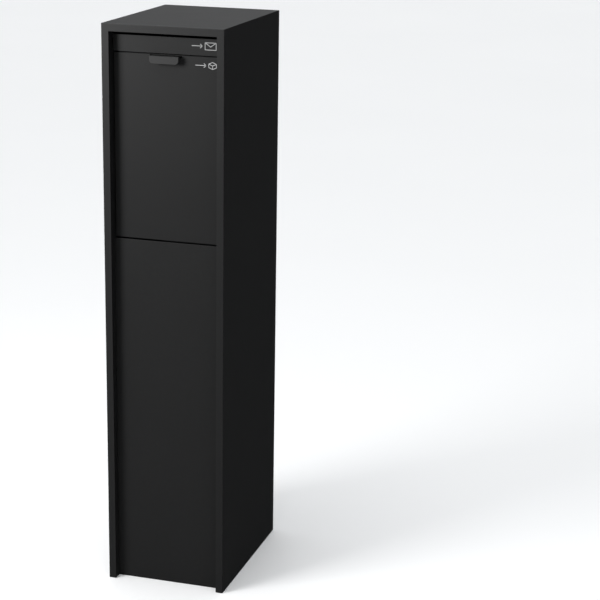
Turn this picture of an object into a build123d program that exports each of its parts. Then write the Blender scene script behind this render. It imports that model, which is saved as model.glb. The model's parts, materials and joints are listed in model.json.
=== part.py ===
from build123d import *
import os
from math import cos, radians, sin, sqrt, tan

# Free-standing parcel drop box in folded sheet steel.
# Frame: origin at the centre of the footprint, +Z up, front faces -Y, +X to the right
# when seen from the front. Millimetres.

# ---- casing -------------------------------------------------------------------------
width = 260.0
depth = 360.0
height = 1200.0
casing_sheet = 1.5
panel_sheet = 1.2
edge_radius = 1.2
rim_width = 15.5            # face of the rim that frames the front and the rear
front_return = 40.0         # depth of the rim's inner flange at the front
rear_return = 26.0          # depth of the rim's inner flange at the rear
panel_recess = 20.0         # lower front panel and letter flap, behind the front rim
panel_flange = 14.0         # side flanges of the lower panel and of the parcel door
foot_flange = 20.0          # lower panel's flange that stands on the base plate
floor_lip = 20.0            # compartment floor's lip, down the rear door's frame
overcut = 1.0                 # how far a cutting shape runs past the face it cuts

# ---- clearances ---------------------------------------------------------------------
door_gap = 2.0              # gap round every door and flap
trim_gap = 0.5              # each end of a fixed piece that fits between the side panels
slide_clearance = 0.3       # between faces on different bodies that pass each other
running_clearance = 0.05    # radial, shaft in bush

# ---- front heights ------------------------------------------------------------------
top_gap = 7.5               # dark gap above the letter flap
parcel_door_height = 380.5
line_gap = 3.0              # the two dark lines across the front
letter_flap_height = 33.5

# ---- letter tray --------------------------------------------------------------------
tray_front_gap = 4.7        # tray's upper front edge, behind the parcel door's skin
tray_rear_gap = 3.5         # tray's rear edge, in front of the rear door's frame
tray_above_door = 0.5       # tray's front edge, above the parcel door's top edge
tray_drop = 101.0           # fall of the tray from front to rear
tray_lip = 9.0
tray_stop_gap = 2.5         # flange behind the parcel door's skin
tray_stop_depth = 15.0      # flange that hangs behind the parcel door's top edge
bumper_offset = 84.0        # rubber buttons, from the middle
bumper_radius = 4.0
rubber_edge = 1.0

# ---- letter flap --------------------------------------------------------------------
rod_radius = 2.5
rod_behind_face = 6.5
rod_below_edge = 5.5
rod_end = 2.0               # rod, past the rim's flanges
flap_foot = 4.0             # flange along the flap's lower edge, and its inset at the ends
ear_behind_rod = 5.0
ear_below_rod = 9.0
ear_corner = 3.0
flap_wire = 0.9
flap_coil_radius = 3.7
flap_coil_turns = 5
flap_coil_length = 7.0
flap_coil_inset = 8.0       # coil's outer end, from the flap's end

# ---- rivets -------------------------------------------------------------------------
rivet_radius = 1.6
rivet_head = 3.0
dome_height = 0.55          # height of a rivet's head, as a share of its radius
dome_rounding = 0.45        # rounding of a rivet's head, as a share of its radius

# ---- hopper: tilting body -----------------------------------------------------------
hopper_opening = 25.5       # degrees that the hopper tilts
pivot_from_rim = 101.0      # hopper pivot, behind the front rim's face
sweep_clearance = 0.5       # extra pivot height, for the door's sweep past the lower panel
cap_below_stop = 8.0        # cap's front edge, below the tray's flange
cheek_angle = 25.7          # lean of the cheeks' rear edge, from the vertical
cheek_offset = 22.3         # that edge's distance from the pivot axis
cheek_top_gap = 22.0        # cheek and cap, under the tray
cheek_edge_rise = 29.0      # lower end of the leaning edge, above the ledge's rear edge
cheek_step_rise = 4.0       # upper end of the cheek's short rear edge, above the same
cheek_front_rise = 12.0     # lower end of the cheek's front edge, above the pivot
cheek_foot_drop = 33.0      # cheek's lower edge, below the pivot
cheek_foot_reach = 14.0     # cheek's lower edge, forward of the baffle
stop_flange_width = 10.0
box_depth = 50.0            # parcel door's face to the inner panel's rear face
inner_panel_lift = 2.5      # inner panel's lower edge, above the ledge
inner_panel_corner = 7.0
ledge_angle = 29.0
ledge_rear_rise = 11.5      # ledge's rear edge, above the pivot
baffle_behind_door = 71.0   # door's face to the baffle's front face
baffle_flange = 15.0
baffle_drop = 278.5         # baffle's lower edge, below the pivot
baffle_foot = 6.0           # turned-in lower edge of the baffle
baffle_foot_inset = 2.0
hopper_rivet_drops = (13.0, 26.0)
door_side_bend = 1.0
door_lower_bend = 0.6

# ---- finger pull --------------------------------------------------------------------
pull_width = 62.0
pull_reach = 15.5           # how far the finger pull stands out of the door
pull_drop = 16.0            # height of the lip that turns down
pull_lean = 2.5             # lip's lower edge, further out than its upper edge
pull_tab = 20.5             # height of the pull behind the door's top edge
pull_below_edge = 0.5       # pull's upper face, below the door's top edge
pull_lip_corner = 7.5
pull_bend = 0.5             # inside radius of the lip's bend
pull_rear_bend = 1.4
notch_side_gap = 2.5        # notch in the door's skin, beside the pull
notch_depth = 4.5

# ---- hopper: pivot and stops --------------------------------------------------------
pivot_pin_radius = 4.0
pin_past_flange = 5.0       # pin's inner end, past the baffle's flange
clip_inset = 1.4            # clip, from the pin's inner end
clip_sheet = 1.0
clip_depth = 1.0            # groove for the clip
clip_reach = 2.2            # clip, outside the pin
clip_mouth = 6.0
bush_wall = 1.8
bush_flange = 3.0
bush_flange_sheet = 1.6
bush_past_flange = 0.8      # bush's inner end, past the baffle's flange
bracket_sheet = 2.5
bracket_half_y = 23.0
bracket_half_z = 26.0
bracket_corner = 5.0
bracket_rivet_y = 16.0
bracket_rivet_z = 18.0
spring_wire = 2.2
spring_coil_radius = 8.6
spring_turns = 3.5
spring_cheek_gap = 4.0      # coil's inner end, from the cheek
spring_bracket_gap = 0.3
upper_leg = 46.0
lower_leg = 22.0
peg_radius = 1.6
peg_length = 5.0
peg_drop = 18.0
stop_sheet = 2.0
stop_arm = 18.0             # stop bracket's arm along the side sheet
stop_gap = 4.0              # stop bracket, behind the cheek's edge at the pivot's height
stop_cheek_gap = 3.0
stop_rise = 205.0           # stop bracket's lower end, above the pivot
stop_height = 40.0
buffer_end_gap = 5.0
buffer_inset = 0.5
buffer_width = 8.5
buffer_thickness = 3.0

# ---- rear door and frame ------------------------------------------------------------
plinth_height = 115.0
door_recess = 3.0           # rear door and plinth, behind the rear rim
door_thickness = 16.5
frame_width = 17.0          # jamb flange, from the rim's return inwards
frame_upstand = 3.5
lintel_extra = 2.0          # head of the frame, deeper than its uprights
sill_rise = 23.0
seal_width = 8.0
lip_width = 19.0
bend_radius = 2.5
stiffener_offset = 8.0      # stiffener's middle, from the door's middle
stiffener_half = 18.0
stiffener_brim = 12.0
stiffener_end_gap = 3.0
stiffener_gap = 2.0         # stiffener, from the plane of the door's lips
hinge_pin_radius = 2.5
hinge_pin_reach = 9.0       # pin inside the door's edge
hinge_head_radius = 3.8
hinge_head_height = 2.0
hinge_bush_wall = 0.9
hinge_bush_reach = 7.0
hinge_flange_radius = 4.8
hinge_end_gap = 0.3         # bush's flange, from the casing
hinge_side_gap = 0.1        # bush, from the inside of the door's side
hinge_face_gap = 0.6        # bush, from the inside of the door's face

# ---- lock ---------------------------------------------------------------------------
lock_from_edge = 40.5
lock_below_top = 92.0
lock_head_radius = 15.5
lock_head_edge = 2.2
barrel_radius = 9.5
barrel_flats = 16.0
barrel_past_cam = 0.4       # barrel's tail, short of the cam
nut_flats = 25.0
nut_height = 5.0
plug_radius = 6.0
plug_set_back = 0.6
keyway_width = 1.8
keyway_height = 8.4
keyway_depth = 14.0
cam_length = 48.0
cam_width = 14.0
cam_sheet = 2.0
cam_square = 7.0            # plug's tail and the cam's hole
cam_screw_radius = 1.6
cam_screw_length = 6.0
cam_screw_hole = 8.0
cam_screw_head = 5.5
cam_screw_head_height = 3.0
cam_screw_edge = 1.2
cam_slot_length = 8.0
cam_slot_width = 1.2
cam_slot_depth = 1.0
strike_sheet = 1.5
strike_width = 16.0
strike_rivet_inset = 9.0
strike_sweep_gap = 1.3      # rivet's head, outside the cam's sweep
strike_end = 8.0            # plate, past its rivets
strike_corner = 3.0

# ---- base and plinth ----------------------------------------------------------------
base_sheet = 3.0
floor_height = 111.5        # top of the compartment's floor
anchor_inset = 40.0         # anchor holes, from the casing's outer faces
anchor_hole_radius = 6.0
plinth_screw_inset = 60.0   # outer screws, from the casing's outer faces
plinth_screw_reach = 7.0    # screws, behind the rim's inner flange
plinth_screw_radius = 2.0
plinth_screw_length = 9.0
plinth_screw_head = 3.4
plinth_screw_head_height = 1.6
plinth_screw_edge = 1.2
cross_length = 3.4          # cross recess of the plinth's screws
cross_width = 0.8
cross_depth = 0.9
angle_sheet = 2.0           # angle under the plinth's flange
angle_depth = 14.0
angle_drop = 18.0
angle_lock_inset = 4.0
angle_hinge_inset = 20.0    # leaves room for the door's lower pin

# ---- values worked out from the above -----------------------------------------------
half_width = width / 2
half_depth = depth / 2
inner_half = half_width - casing_sheet
opening_half = half_width - rim_width
opening_top = height - rim_width
return_half = opening_half + casing_sheet
flange_half = opening_half - casing_sheet
trim_half = opening_half - trim_gap
moving_half = opening_half - door_gap
front_rim_y = -half_depth
rear_rim_y = half_depth
front_return_y = front_rim_y + front_return
rear_return_y = rear_rim_y - rear_return
panel_face_y = front_rim_y + panel_recess
panel_back_y = panel_face_y + casing_sheet

skin_face_y = panel_back_y + slide_clearance
skin_back_y = skin_face_y + casing_sheet
flap_top = opening_top - top_gap
flap_bottom = flap_top - letter_flap_height
parcel_door_top = flap_bottom - line_gap
parcel_door_bottom = parcel_door_top - parcel_door_height
lower_panel_top = parcel_door_bottom - line_gap
rod_y = panel_face_y + rod_behind_face
rod_z = flap_top - rod_below_edge

tray_front_y = skin_back_y + tray_front_gap
tray_rear_y = rear_return_y - casing_sheet - tray_rear_gap
tray_front_z = parcel_door_top + tray_above_door
tray_slope = tray_drop / (tray_rear_y - tray_front_y)
stop_flange_y = skin_back_y + tray_stop_gap
stop_flange_bottom = tray_front_z - tray_stop_depth

pivot_y = front_rim_y + pivot_from_rim
pivot_rise = (pivot_y - panel_back_y) * tan(radians(hopper_opening / 2)) + sweep_clearance
pivot_z = lower_panel_top + pivot_rise
cheek_outer = moving_half - casing_sheet
cheek_inner = cheek_outer - panel_sheet
pin_end = cheek_inner - panel_sheet - pin_past_flange
inner_panel_y = skin_face_y + box_depth
baffle_face_y = skin_face_y + baffle_behind_door
baffle_back_y = baffle_face_y + panel_sheet
baffle_rear_y = baffle_back_y + baffle_flange
ledge_slope = tan(radians(ledge_angle))
ledge_rear_z = pivot_z + ledge_rear_rise
cap_front_z = stop_flange_bottom - cap_below_stop
bush_radius = pivot_pin_radius + bush_wall
bracket_half_x = inner_half - bracket_sheet
stop_face_y = pivot_y - cheek_offset - panel_sheet - stop_gap

door_face_y = rear_rim_y - door_recess
door_back_y = door_face_y - door_thickness
door_bottom = plinth_height + door_gap
door_top = opening_top - door_gap
frame_inner = return_half - frame_width
frame_back_y = rear_return_y - casing_sheet
upstand_y = rear_return_y + frame_upstand
frame_top = opening_top + casing_sheet - frame_width - lintel_extra
sill_top = plinth_height + sill_rise
hinge_bush_radius = hinge_pin_radius + hinge_bush_wall
hinge_x = moving_half - casing_sheet - hinge_bush_radius - hinge_side_gap
hinge_y = door_face_y - casing_sheet - hinge_bush_radius - hinge_face_gap
lock_x = -moving_half + lock_from_edge
lock_height = height - lock_below_top
cam_rear_y = frame_back_y - strike_sheet - slide_clearance
cam_front_y = cam_rear_y - cam_sheet


# ---- shape helpers ------------------------------------------------------------------
def slab(x0, x1, y0, y1, z0, z1):
    """A rectangular block between two corners."""
    middle = Pos((x0 + x1) / 2, (y0 + y1) / 2, (z0 + z1) / 2)
    return middle * Box(abs(x1 - x0), abs(y1 - y0), abs(z1 - z0))


def side_plate(outline, x0, x1):
    """A plate cut to an outline of (y, z) points and spanning x0 to x1."""
    face = make_face(Polyline(*outline, close=True))
    return extrude(Plane.YZ.offset(min(x0, x1)) * face, amount=abs(x1 - x0), dir=(1, 0, 0))


def front_plate(outline, y0, y1):
    """A plate cut to an outline of (x, z) points and spanning y0 to y1."""
    face = make_face(Polyline(*outline, close=True))
    return extrude(Plane.XZ.offset(-min(y0, y1)) * face, amount=abs(y1 - y0), dir=(0, 1, 0))


def rod(radius, start, end):
    """A round rod between two points."""
    axis = Vector(*end) - Vector(*start)
    return extrude(Plane(origin=start, z_dir=axis) * Circle(radius), amount=axis.length)


def tube(outer, inner, start, end):
    """A round tube between two points."""
    return rod(outer, start, end) - rod(inner, start, end)


def cross_rod(radius, x0, x1, y, z):
    """A round rod along X."""
    return rod(radius, (x0, y, z), (x1, y, z))


def upright_rod(radius, x, y, z0, z1):
    """A round rod along Z."""
    return rod(radius, (x, y, z0), (x, y, z1))


def lock_rod(radius, y0, y1):
    """A round rod on the lock's axis."""
    return rod(radius, (lock_x, y0, lock_height), (lock_x, y1, lock_height))


def lock_block(breadth, y0, y1, tall):
    """A rectangular block centred on the lock's axis."""
    return slab(lock_x - breadth / 2, lock_x + breadth / 2, y0, y1,
                lock_height - tall / 2, lock_height + tall / 2)


def hex_nut(across_flats, bore, start, end):
    """A hexagonal nut between two points."""
    axis = Vector(*end) - Vector(*start)
    plane = Plane(origin=start, z_dir=axis)
    hexagon = RegularPolygon(across_flats / 2, 6, major_radius=False)
    return extrude(plane * hexagon, amount=axis.length) - rod(bore, start, end)


def edges_at(solid, axis, **place):
    """Edges parallel to an axis whose middles lie at the given coordinates."""
    near = 0.05
    found = []
    for edge in solid.edges().filter_by(axis):
        middle = edge.center()
        if all(abs(getattr(middle, name) - value) < near for name, value in place.items()):
            found.append(edge)
    return found


def domed_pin(radius, head_radius, start, end):
    """A rivet: a shank and a round head at its start, outside the span."""
    axis = (Vector(*end) - Vector(*start)).normalized()
    back = Vector(*start) - axis * head_radius * dome_height
    head = rod(head_radius, tuple(back), start)
    rim = [edge for edge in head.edges() if (edge.center(CenterOf.MASS) - back).length < 0.01]
    return rod(radius, start, end) + fillet(rim, head_radius * dome_rounding)


def joined(pieces):
    """Separate solids kept as one group."""
    return Compound(children=list(pieces))


def tray_height(y):
    """Height of the letter tray's upper face at a depth y."""
    return tray_front_z - (y - tray_front_y) * tray_slope


def cheek_edge_y(z):
    """Depth of the cheeks' rear edge at a height z."""
    lean = radians(cheek_angle)
    return pivot_y - cheek_offset / cos(lean) + (z - pivot_z) * tan(lean)


def ledge_height(y):
    """Height of the ledge's upper face at a depth y."""
    return ledge_rear_z + (baffle_face_y - y) * ledge_slope


# ---- casing -------------------------------------------------------------------------
def side_panel(side):
    """Folded side: sheet, front and rear rims, and the rims' inner flanges."""
    outer = side * half_width
    edge = side * opening_half
    back = side * return_half
    panel = slab(outer, side * inner_half, front_rim_y + casing_sheet,
                 rear_rim_y - casing_sheet, 0, height)
    rim = [(outer, 0), (outer, height), (edge, opening_top), (edge, 0)]
    panel += front_plate(rim, front_rim_y, front_rim_y + casing_sheet)
    panel += front_plate(rim, rear_rim_y - casing_sheet, rear_rim_y)
    panel += slab(edge, back, front_rim_y + casing_sheet, front_return_y, 0, opening_top)
    panel += slab(edge, back, rear_return_y, rear_rim_y - casing_sheet, 0, opening_top)
    for y in (front_rim_y, rear_rim_y):
        panel = fillet(edges_at(panel, Axis.Z, X=outer, Y=y), edge_radius)
    return panel - cross_rod(rod_radius, side * (opening_half - overcut), side * (return_half + overcut),
                             rod_y, rod_z)


def top_panel():
    """Folded top: sheet, front and rear rims, and the rims' inner flanges."""
    flange_top = opening_top + casing_sheet
    panel = slab(-inner_half, inner_half, front_rim_y + casing_sheet, rear_rim_y - casing_sheet,
                 height - casing_sheet, height)
    rim = [(-half_width, height), (half_width, height), (opening_half, opening_top),
           (-opening_half, opening_top)]
    panel += front_plate(rim, front_rim_y, front_rim_y + casing_sheet)
    panel += front_plate(rim, rear_rim_y - casing_sheet, rear_rim_y)
    panel += slab(-return_half, return_half, front_rim_y + casing_sheet, front_return_y,
                  opening_top, flange_top)
    panel += slab(-return_half, return_half, rear_return_y, rear_rim_y - casing_sheet,
                  opening_top, flange_top)
    for y in (front_rim_y, rear_rim_y):
        panel = fillet(edges_at(panel, Axis.X, Y=y, Z=height), edge_radius)
    return panel - upright_rod(hinge_pin_radius, hinge_x, hinge_y, opening_top - overcut,
                               flange_top + overcut)


def lower_front_panel():
    """Fixed panel below the parcel door, with side flanges and a foot flange."""
    panel = slab(-opening_half, opening_half, panel_face_y, panel_back_y, 0, lower_panel_top)
    for side in (-1, 1):
        panel += slab(side * flange_half, side * opening_half, panel_back_y,
                      panel_back_y + panel_flange, 0, lower_panel_top)
    return panel + slab(-flange_half, flange_half, panel_back_y, panel_back_y + foot_flange,
                        base_sheet, base_sheet + casing_sheet)


def compartment_floor():
    """Floor of the parcel compartment, cut away round the front flanges."""
    underside = floor_height - casing_sheet
    front = slab(-flange_half, flange_half, panel_back_y, front_return_y, underside, floor_height)
    rear = slab(-inner_half, inner_half, front_return_y, frame_back_y, underside, floor_height)
    lip = slab(-inner_half, inner_half, frame_back_y - casing_sheet, frame_back_y,
               floor_height - floor_lip, floor_height)
    return front + rear + lip


def base_plate():
    """Bottom plate between the side sheets, with the anchor holes."""
    rear_y = door_face_y - casing_sheet
    plate = slab(-flange_half, flange_half, panel_back_y, front_return_y, 0, base_sheet)
    plate += slab(-inner_half, inner_half, front_return_y, rear_return_y, 0, base_sheet)
    plate += slab(-opening_half, opening_half, rear_return_y, rear_y, 0, base_sheet)
    for x in (anchor_inset - half_width, half_width - anchor_inset):
        for y in (anchor_inset - half_depth, half_depth - anchor_inset):
            plate -= upright_rod(anchor_hole_radius, x, y, -overcut, base_sheet + overcut)
    return plate


def plinth_screw_places():
    """(x, y) places of the plinth's screws."""
    spread = half_width - plinth_screw_inset
    return [(x, rear_return_y + plinth_screw_reach) for x in (-spread, 0.0, spread)]


def rear_plinth():
    """Removable cover under the rear door, with a threshold flange."""
    back = door_face_y - casing_sheet
    underside = plinth_height - casing_sheet
    cover = slab(-trim_half, trim_half, back, door_face_y, 0, plinth_height)
    cover += slab(-trim_half, trim_half, rear_return_y, back, underside, plinth_height)
    cover = fillet(edges_at(cover, Axis.X, Y=door_face_y, Z=plinth_height), edge_radius)
    holes = [(x, y, plinth_screw_radius) for x, y in plinth_screw_places()]
    holes.append((hinge_x, hinge_y, hinge_pin_radius))
    for x, y, radius in holes:
        cover -= upright_rod(radius, x, y, underside - overcut, plinth_height + overcut)
    return cover


def plinth_screws():
    """Cross-head screws that hold the plinth cover's flange."""
    head_top = plinth_height + plinth_screw_head_height
    screws = []
    for x, y in plinth_screw_places():
        screw = upright_rod(plinth_screw_head, x, y, plinth_height, head_top)
        screw = fillet(screw.edges().sort_by(Axis.Z)[-1], plinth_screw_edge)
        screw += upright_rod(plinth_screw_radius, x, y, plinth_height - plinth_screw_length,
                             plinth_height)
        for length, breadth in ((cross_length, cross_width), (cross_width, cross_length)):
            screw -= slab(x - length / 2, x + length / 2, y - breadth / 2, y + breadth / 2,
                          head_top - cross_depth, head_top + overcut)
        screws.append(screw)
    return joined(screws)


def plinth_bracket():
    """Angle welded under the frame, which the plinth's screws bite into."""
    top = plinth_height - casing_sheet
    underside = top - angle_sheet
    lock_end = -opening_half + angle_lock_inset
    hinge_end = opening_half - angle_hinge_inset
    bracket = slab(lock_end, hinge_end, rear_return_y, rear_return_y + angle_depth, underside, top)
    bracket += slab(lock_end, hinge_end, rear_return_y, rear_return_y + casing_sheet,
                    top - angle_drop, underside)
    for x, y in plinth_screw_places():
        bracket -= upright_rod(plinth_screw_radius, x, y, underside - overcut, top + overcut)
    return bracket


# ---- rear door frame ----------------------------------------------------------------
def jamb(side):
    """Upright of the rear door frame: flange and upstand, which form a gutter."""
    outer = side * inner_half
    inner = side * frame_inner
    upright = slab(outer, inner, frame_back_y, rear_return_y, floor_height, opening_top)
    return upright + slab(inner, inner + side * casing_sheet, rear_return_y, upstand_y,
                          sill_top - casing_sheet, frame_top + casing_sheet)


def lintel():
    """Head of the rear door frame."""
    head = slab(-frame_inner, frame_inner, frame_back_y, rear_return_y, frame_top,
                opening_top + casing_sheet)
    return head + slab(-frame_inner, frame_inner, rear_return_y, upstand_y, frame_top,
                       frame_top + casing_sheet)


def sill():
    """Foot of the rear door frame."""
    foot = slab(-frame_inner, frame_inner, frame_back_y, rear_return_y, floor_height, sill_top)
    return foot + slab(-frame_inner, frame_inner, rear_return_y, upstand_y,
                       sill_top - casing_sheet, sill_top)


def strike_rivet_places():
    """(x, z) places of the strike plate's rivets, outside the cam's sweep."""
    x = -frame_inner - strike_rivet_inset
    clear = cam_length + rivet_head + strike_sweep_gap
    rise = sqrt(clear ** 2 - (x - lock_x) ** 2)
    return [(x, lock_height - rise), (x, lock_height + rise)]


def strike_plate():
    """Wear plate that the lock's cam turns behind."""
    face = frame_back_y - strike_sheet
    low, high = (z for x, z in strike_rivet_places())
    plate = slab(-frame_inner - strike_width, -frame_inner, face, frame_back_y,
                 low - strike_end, high + strike_end)
    plate = fillet(plate.edges().filter_by(Axis.Y), strike_corner)
    for x, z in strike_rivet_places():
        plate -= rod(rivet_radius, (x, face - overcut, z), (x, frame_back_y + overcut, z))
    return plate


def strike_rivets():
    """Rivets of the strike plate."""
    face = frame_back_y - strike_sheet
    rivets = []
    for x, z in strike_rivet_places():
        rivets.append(domed_pin(rivet_radius, rivet_head, (x, face, z), (x, frame_back_y, z)))
    return joined(rivets)


# ---- letter tray and flap -----------------------------------------------------------
def letter_tray():
    """Sloping shelf under the letter slot, with a stop flange and a rear lip."""
    y_front = stop_flange_y + casing_sheet
    y_split = front_return_y
    y_rear = tray_rear_y
    front, split, rear = (tray_height(y) for y in (y_front, y_split, y_rear))
    slope_front = [(y_front, front), (y_split, split), (y_split, split - panel_sheet),
                   (y_front, front - panel_sheet)]
    slope_rear = [(y_split, split), (y_rear, rear), (y_rear, rear - panel_sheet),
                  (y_split, split - panel_sheet)]
    tray = side_plate(slope_front, -trim_half, trim_half)
    tray += side_plate(slope_rear, -inner_half, inner_half)
    tray += slab(-trim_half, trim_half, stop_flange_y, y_front, stop_flange_bottom, front)
    return tray + slab(-inner_half, inner_half, y_rear, y_rear + panel_sheet, rear - panel_sheet,
                       rear + tray_lip)


def parcel_door_bumpers():
    """Rubber buttons that the closed parcel door rests against."""
    z = stop_flange_bottom + tray_stop_depth / 2
    buttons = []
    for x in (-bumper_offset, bumper_offset):
        button = rod(bumper_radius, (x, skin_back_y + slide_clearance, z), (x, stop_flange_y, z))
        buttons.append(fillet(button.edges().sort_by(Axis.Y)[0], rubber_edge))
    return joined(buttons)


def letter_flap():
    """Push-in flap: folded face with an ear and a bush hole at each end."""
    half = moving_half
    ear_rear = rod_y + ear_behind_rod
    flap = slab(-half, half, panel_face_y, panel_back_y, flap_bottom, flap_top)
    flap += slab(-half + flap_foot, half - flap_foot, panel_back_y, panel_back_y + flap_foot,
                 flap_bottom, flap_bottom + panel_sheet)
    for side in (-1, 1):
        ear = slab(side * half, side * (half - panel_sheet), panel_back_y, ear_rear,
                   rod_z - ear_below_rod, flap_top)
        flap += fillet(edges_at(ear, Axis.X, Y=ear_rear), ear_corner)
    return flap - cross_rod(rod_radius + running_clearance, -half - overcut, half + overcut, rod_y, rod_z)


def flap_rod():
    """Rod that the letter flap swings on, held in the rim's flanges."""
    half = return_half + rod_end
    return cross_rod(rod_radius, -half, half, rod_y, rod_z)


def coil(radius, wire, turns, x0, x1, y, z, start_angle):
    """A helical coil round an X axis, from x0 to x1."""
    rise = abs(x1 - x0)
    helix = Helix(pitch=rise / turns, height=rise, radius=radius)
    section = Plane(origin=helix @ 0, z_dir=helix % 0) * Circle(wire / 2)
    turned = Rot(0, 0, start_angle) * sweep(section, path=helix, is_frenet=True)
    return Pos(x0, y, z) * Rot(0, 90 if x1 > x0 else -90, 0) * turned


def flap_spring():
    """Light torsion spring on the flap's rod."""
    x0 = -moving_half + flap_coil_inset
    return coil(flap_coil_radius, flap_wire, flap_coil_turns, x0, x0 + flap_coil_length,
                rod_y, rod_z, 0)


# ---- hopper: pivot and stops on the casing ------------------------------------------
def bracket_rivet_places():
    """(y, z) places of a pivot bracket's rivets."""
    return [(pivot_y + dy, pivot_z + dz) for dy in (-bracket_rivet_y, bracket_rivet_y)
            for dz in (-bracket_rivet_z, bracket_rivet_z)]


def pivot_bracket(side):
    """Reinforcing plate on the side sheet that carries the hopper's pivot pin."""
    face = side * bracket_half_x
    back = side * inner_half
    plate = slab(back, face, pivot_y - bracket_half_y, pivot_y + bracket_half_y,
                 pivot_z - bracket_half_z, pivot_z + bracket_half_z)
    plate = fillet(plate.edges().filter_by(Axis.X), bracket_corner)
    plate -= cross_rod(pivot_pin_radius, face, back, pivot_y, pivot_z)
    for y, z in bracket_rivet_places():
        plate -= cross_rod(rivet_radius, face, back, y, z)
    return plate


def bracket_rivets():
    """Rivets of both pivot brackets."""
    rivets = []
    for side in (-1, 1):
        for y, z in bracket_rivet_places():
            rivets.append(domed_pin(rivet_radius, rivet_head, (side * bracket_half_x, y, z),
                                    (side * inner_half, y, z)))
    return joined(rivets)


def clip_ring(side, outer):
    """The ring-shaped space of a pivot pin's clip."""
    x0 = side * (pin_end + clip_inset)
    x1 = side * (pin_end + clip_inset + clip_sheet)
    return tube(outer, pivot_pin_radius - clip_depth, (x0, pivot_y, pivot_z), (x1, pivot_y, pivot_z))


def pivot_pin(side):
    """Stub axle of the hopper, with a groove for its clip."""
    pin = cross_rod(pivot_pin_radius, side * inner_half, side * pin_end, pivot_y, pivot_z)
    return pin - clip_ring(side, pivot_pin_radius + overcut)


def pivot_clips():
    """Clips in the grooves of the hopper's pins."""
    outer = pivot_pin_radius + clip_reach
    clips = []
    for side in (-1, 1):
        mouth = slab(side * pin_end, side * (pin_end + clip_inset + clip_sheet + overcut),
                     pivot_y - clip_mouth / 2, pivot_y + clip_mouth / 2,
                     pivot_z - outer - overcut, pivot_z)
        clips.append(clip_ring(side, outer) - mouth)
    return joined(clips)


def spring_peg(side):
    """Peg on the pivot bracket that the spring's lower leg bears on."""
    y = pivot_y + spring_coil_radius + spring_wire / 2 + peg_radius
    return cross_rod(peg_radius, side * bracket_half_x, side * (bracket_half_x - peg_length),
                     y, pivot_z - peg_drop)


def hopper_spring(side):
    """Torsion spring that closes the hopper: coil, lower leg and upper leg."""
    wire = spring_wire / 2
    x_in = side * (cheek_outer + spring_cheek_gap)
    x_out = side * (bracket_half_x - wire - spring_bracket_gap)
    front = pivot_y - spring_coil_radius
    rear = pivot_y + spring_coil_radius
    spring = coil(spring_coil_radius, spring_wire, spring_turns, x_in, x_out, pivot_y, pivot_z, 180)
    spring += upright_rod(wire, x_in, front, pivot_z, pivot_z + upper_leg)
    return spring + upright_rod(wire, x_out, rear, pivot_z, pivot_z - lower_leg)


def stop_bracket(side):
    """Angle on the side sheet that stops the open hopper."""
    z0 = pivot_z + stop_rise
    z1 = z0 + stop_height
    back = stop_face_y - stop_sheet
    flange = slab(side * (cheek_outer + stop_cheek_gap), side * inner_half, back, stop_face_y, z0, z1)
    return flange + slab(side * (inner_half - stop_sheet), side * inner_half, stop_face_y - stop_arm,
                         back, z0, z1)


def stop_buffers():
    """Rubber pads on the stop brackets."""
    z0 = pivot_z + stop_rise + buffer_end_gap
    z1 = pivot_z + stop_rise + stop_height - buffer_end_gap
    face = stop_face_y + buffer_thickness
    x0 = cheek_outer + stop_cheek_gap + buffer_inset
    pads = []
    for side in (-1, 1):
        pad = slab(side * x0, side * (x0 + buffer_width), stop_face_y, face, z0, z1)
        pads.append(fillet(edges_at(pad, Axis.Z, Y=face), rubber_edge))
    return joined(pads)


# ---- hopper: tilting body -----------------------------------------------------------
def parcel_door():
    """Outer skin of the tilting hopper, notched at its top edge for the pull."""
    skin = slab(-moving_half, moving_half, skin_face_y, skin_back_y, parcel_door_bottom, parcel_door_top)
    for side in (-1, 1):
        skin += slab(side * cheek_outer, side * moving_half, skin_back_y, skin_back_y + panel_flange,
                     parcel_door_bottom, cap_front_z)
    notch_half = pull_width / 2 + notch_side_gap
    skin -= slab(-notch_half, notch_half, skin_face_y - overcut, skin_back_y + overcut,
                 parcel_door_top - notch_depth, parcel_door_top + overcut)
    skin = fillet(edges_at(skin, Axis.Z, Y=skin_face_y), door_side_bend)
    return fillet(edges_at(skin, Axis.X, Y=skin_face_y, Z=parcel_door_bottom), door_lower_bend)


def finger_pull():
    """Bent strip that rises behind the door's edge, reaches out and turns down."""
    half = pull_width / 2
    top = parcel_door_top - pull_below_edge
    under = top - casing_sheet
    tab_rear = skin_back_y + casing_sheet
    tab_bottom = top - pull_tab
    lip_bottom = top - pull_drop
    lip_y = skin_face_y - pull_reach
    bend_y = lip_y + pull_lean
    bend_back_y = bend_y + casing_sheet
    outline = [(tab_rear, tab_bottom), (tab_rear, top), (bend_y, top), (lip_y, lip_bottom),
               (lip_y + casing_sheet, lip_bottom), (bend_back_y, under), (skin_back_y, under),
               (skin_back_y, tab_bottom)]
    strip = side_plate(outline, -half, half)
    strip = fillet(edges_at(strip, Axis.X, Y=bend_y, Z=top), pull_bend + casing_sheet)
    strip = fillet(edges_at(strip, Axis.X, Y=bend_back_y, Z=under), pull_bend)
    strip = fillet(edges_at(strip, Axis.X, Y=tab_rear, Z=top), pull_rear_bend)
    for x in (-half, half):
        strip = fillet(edges_at(strip, Axis.Y, X=x, Z=lip_bottom), pull_lip_corner)
    return strip


def inner_panel():
    """Inner face of the hopper's front, with rounded lower corners."""
    bottom = ledge_height(inner_panel_y) + inner_panel_lift
    top = cap_front_z - (inner_panel_y - skin_back_y) * tray_slope
    panel = slab(-cheek_inner, cheek_inner, inner_panel_y - panel_sheet, inner_panel_y, bottom, top)
    return fillet(edges_at(panel, Axis.Y, Z=bottom), inner_panel_corner)


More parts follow.
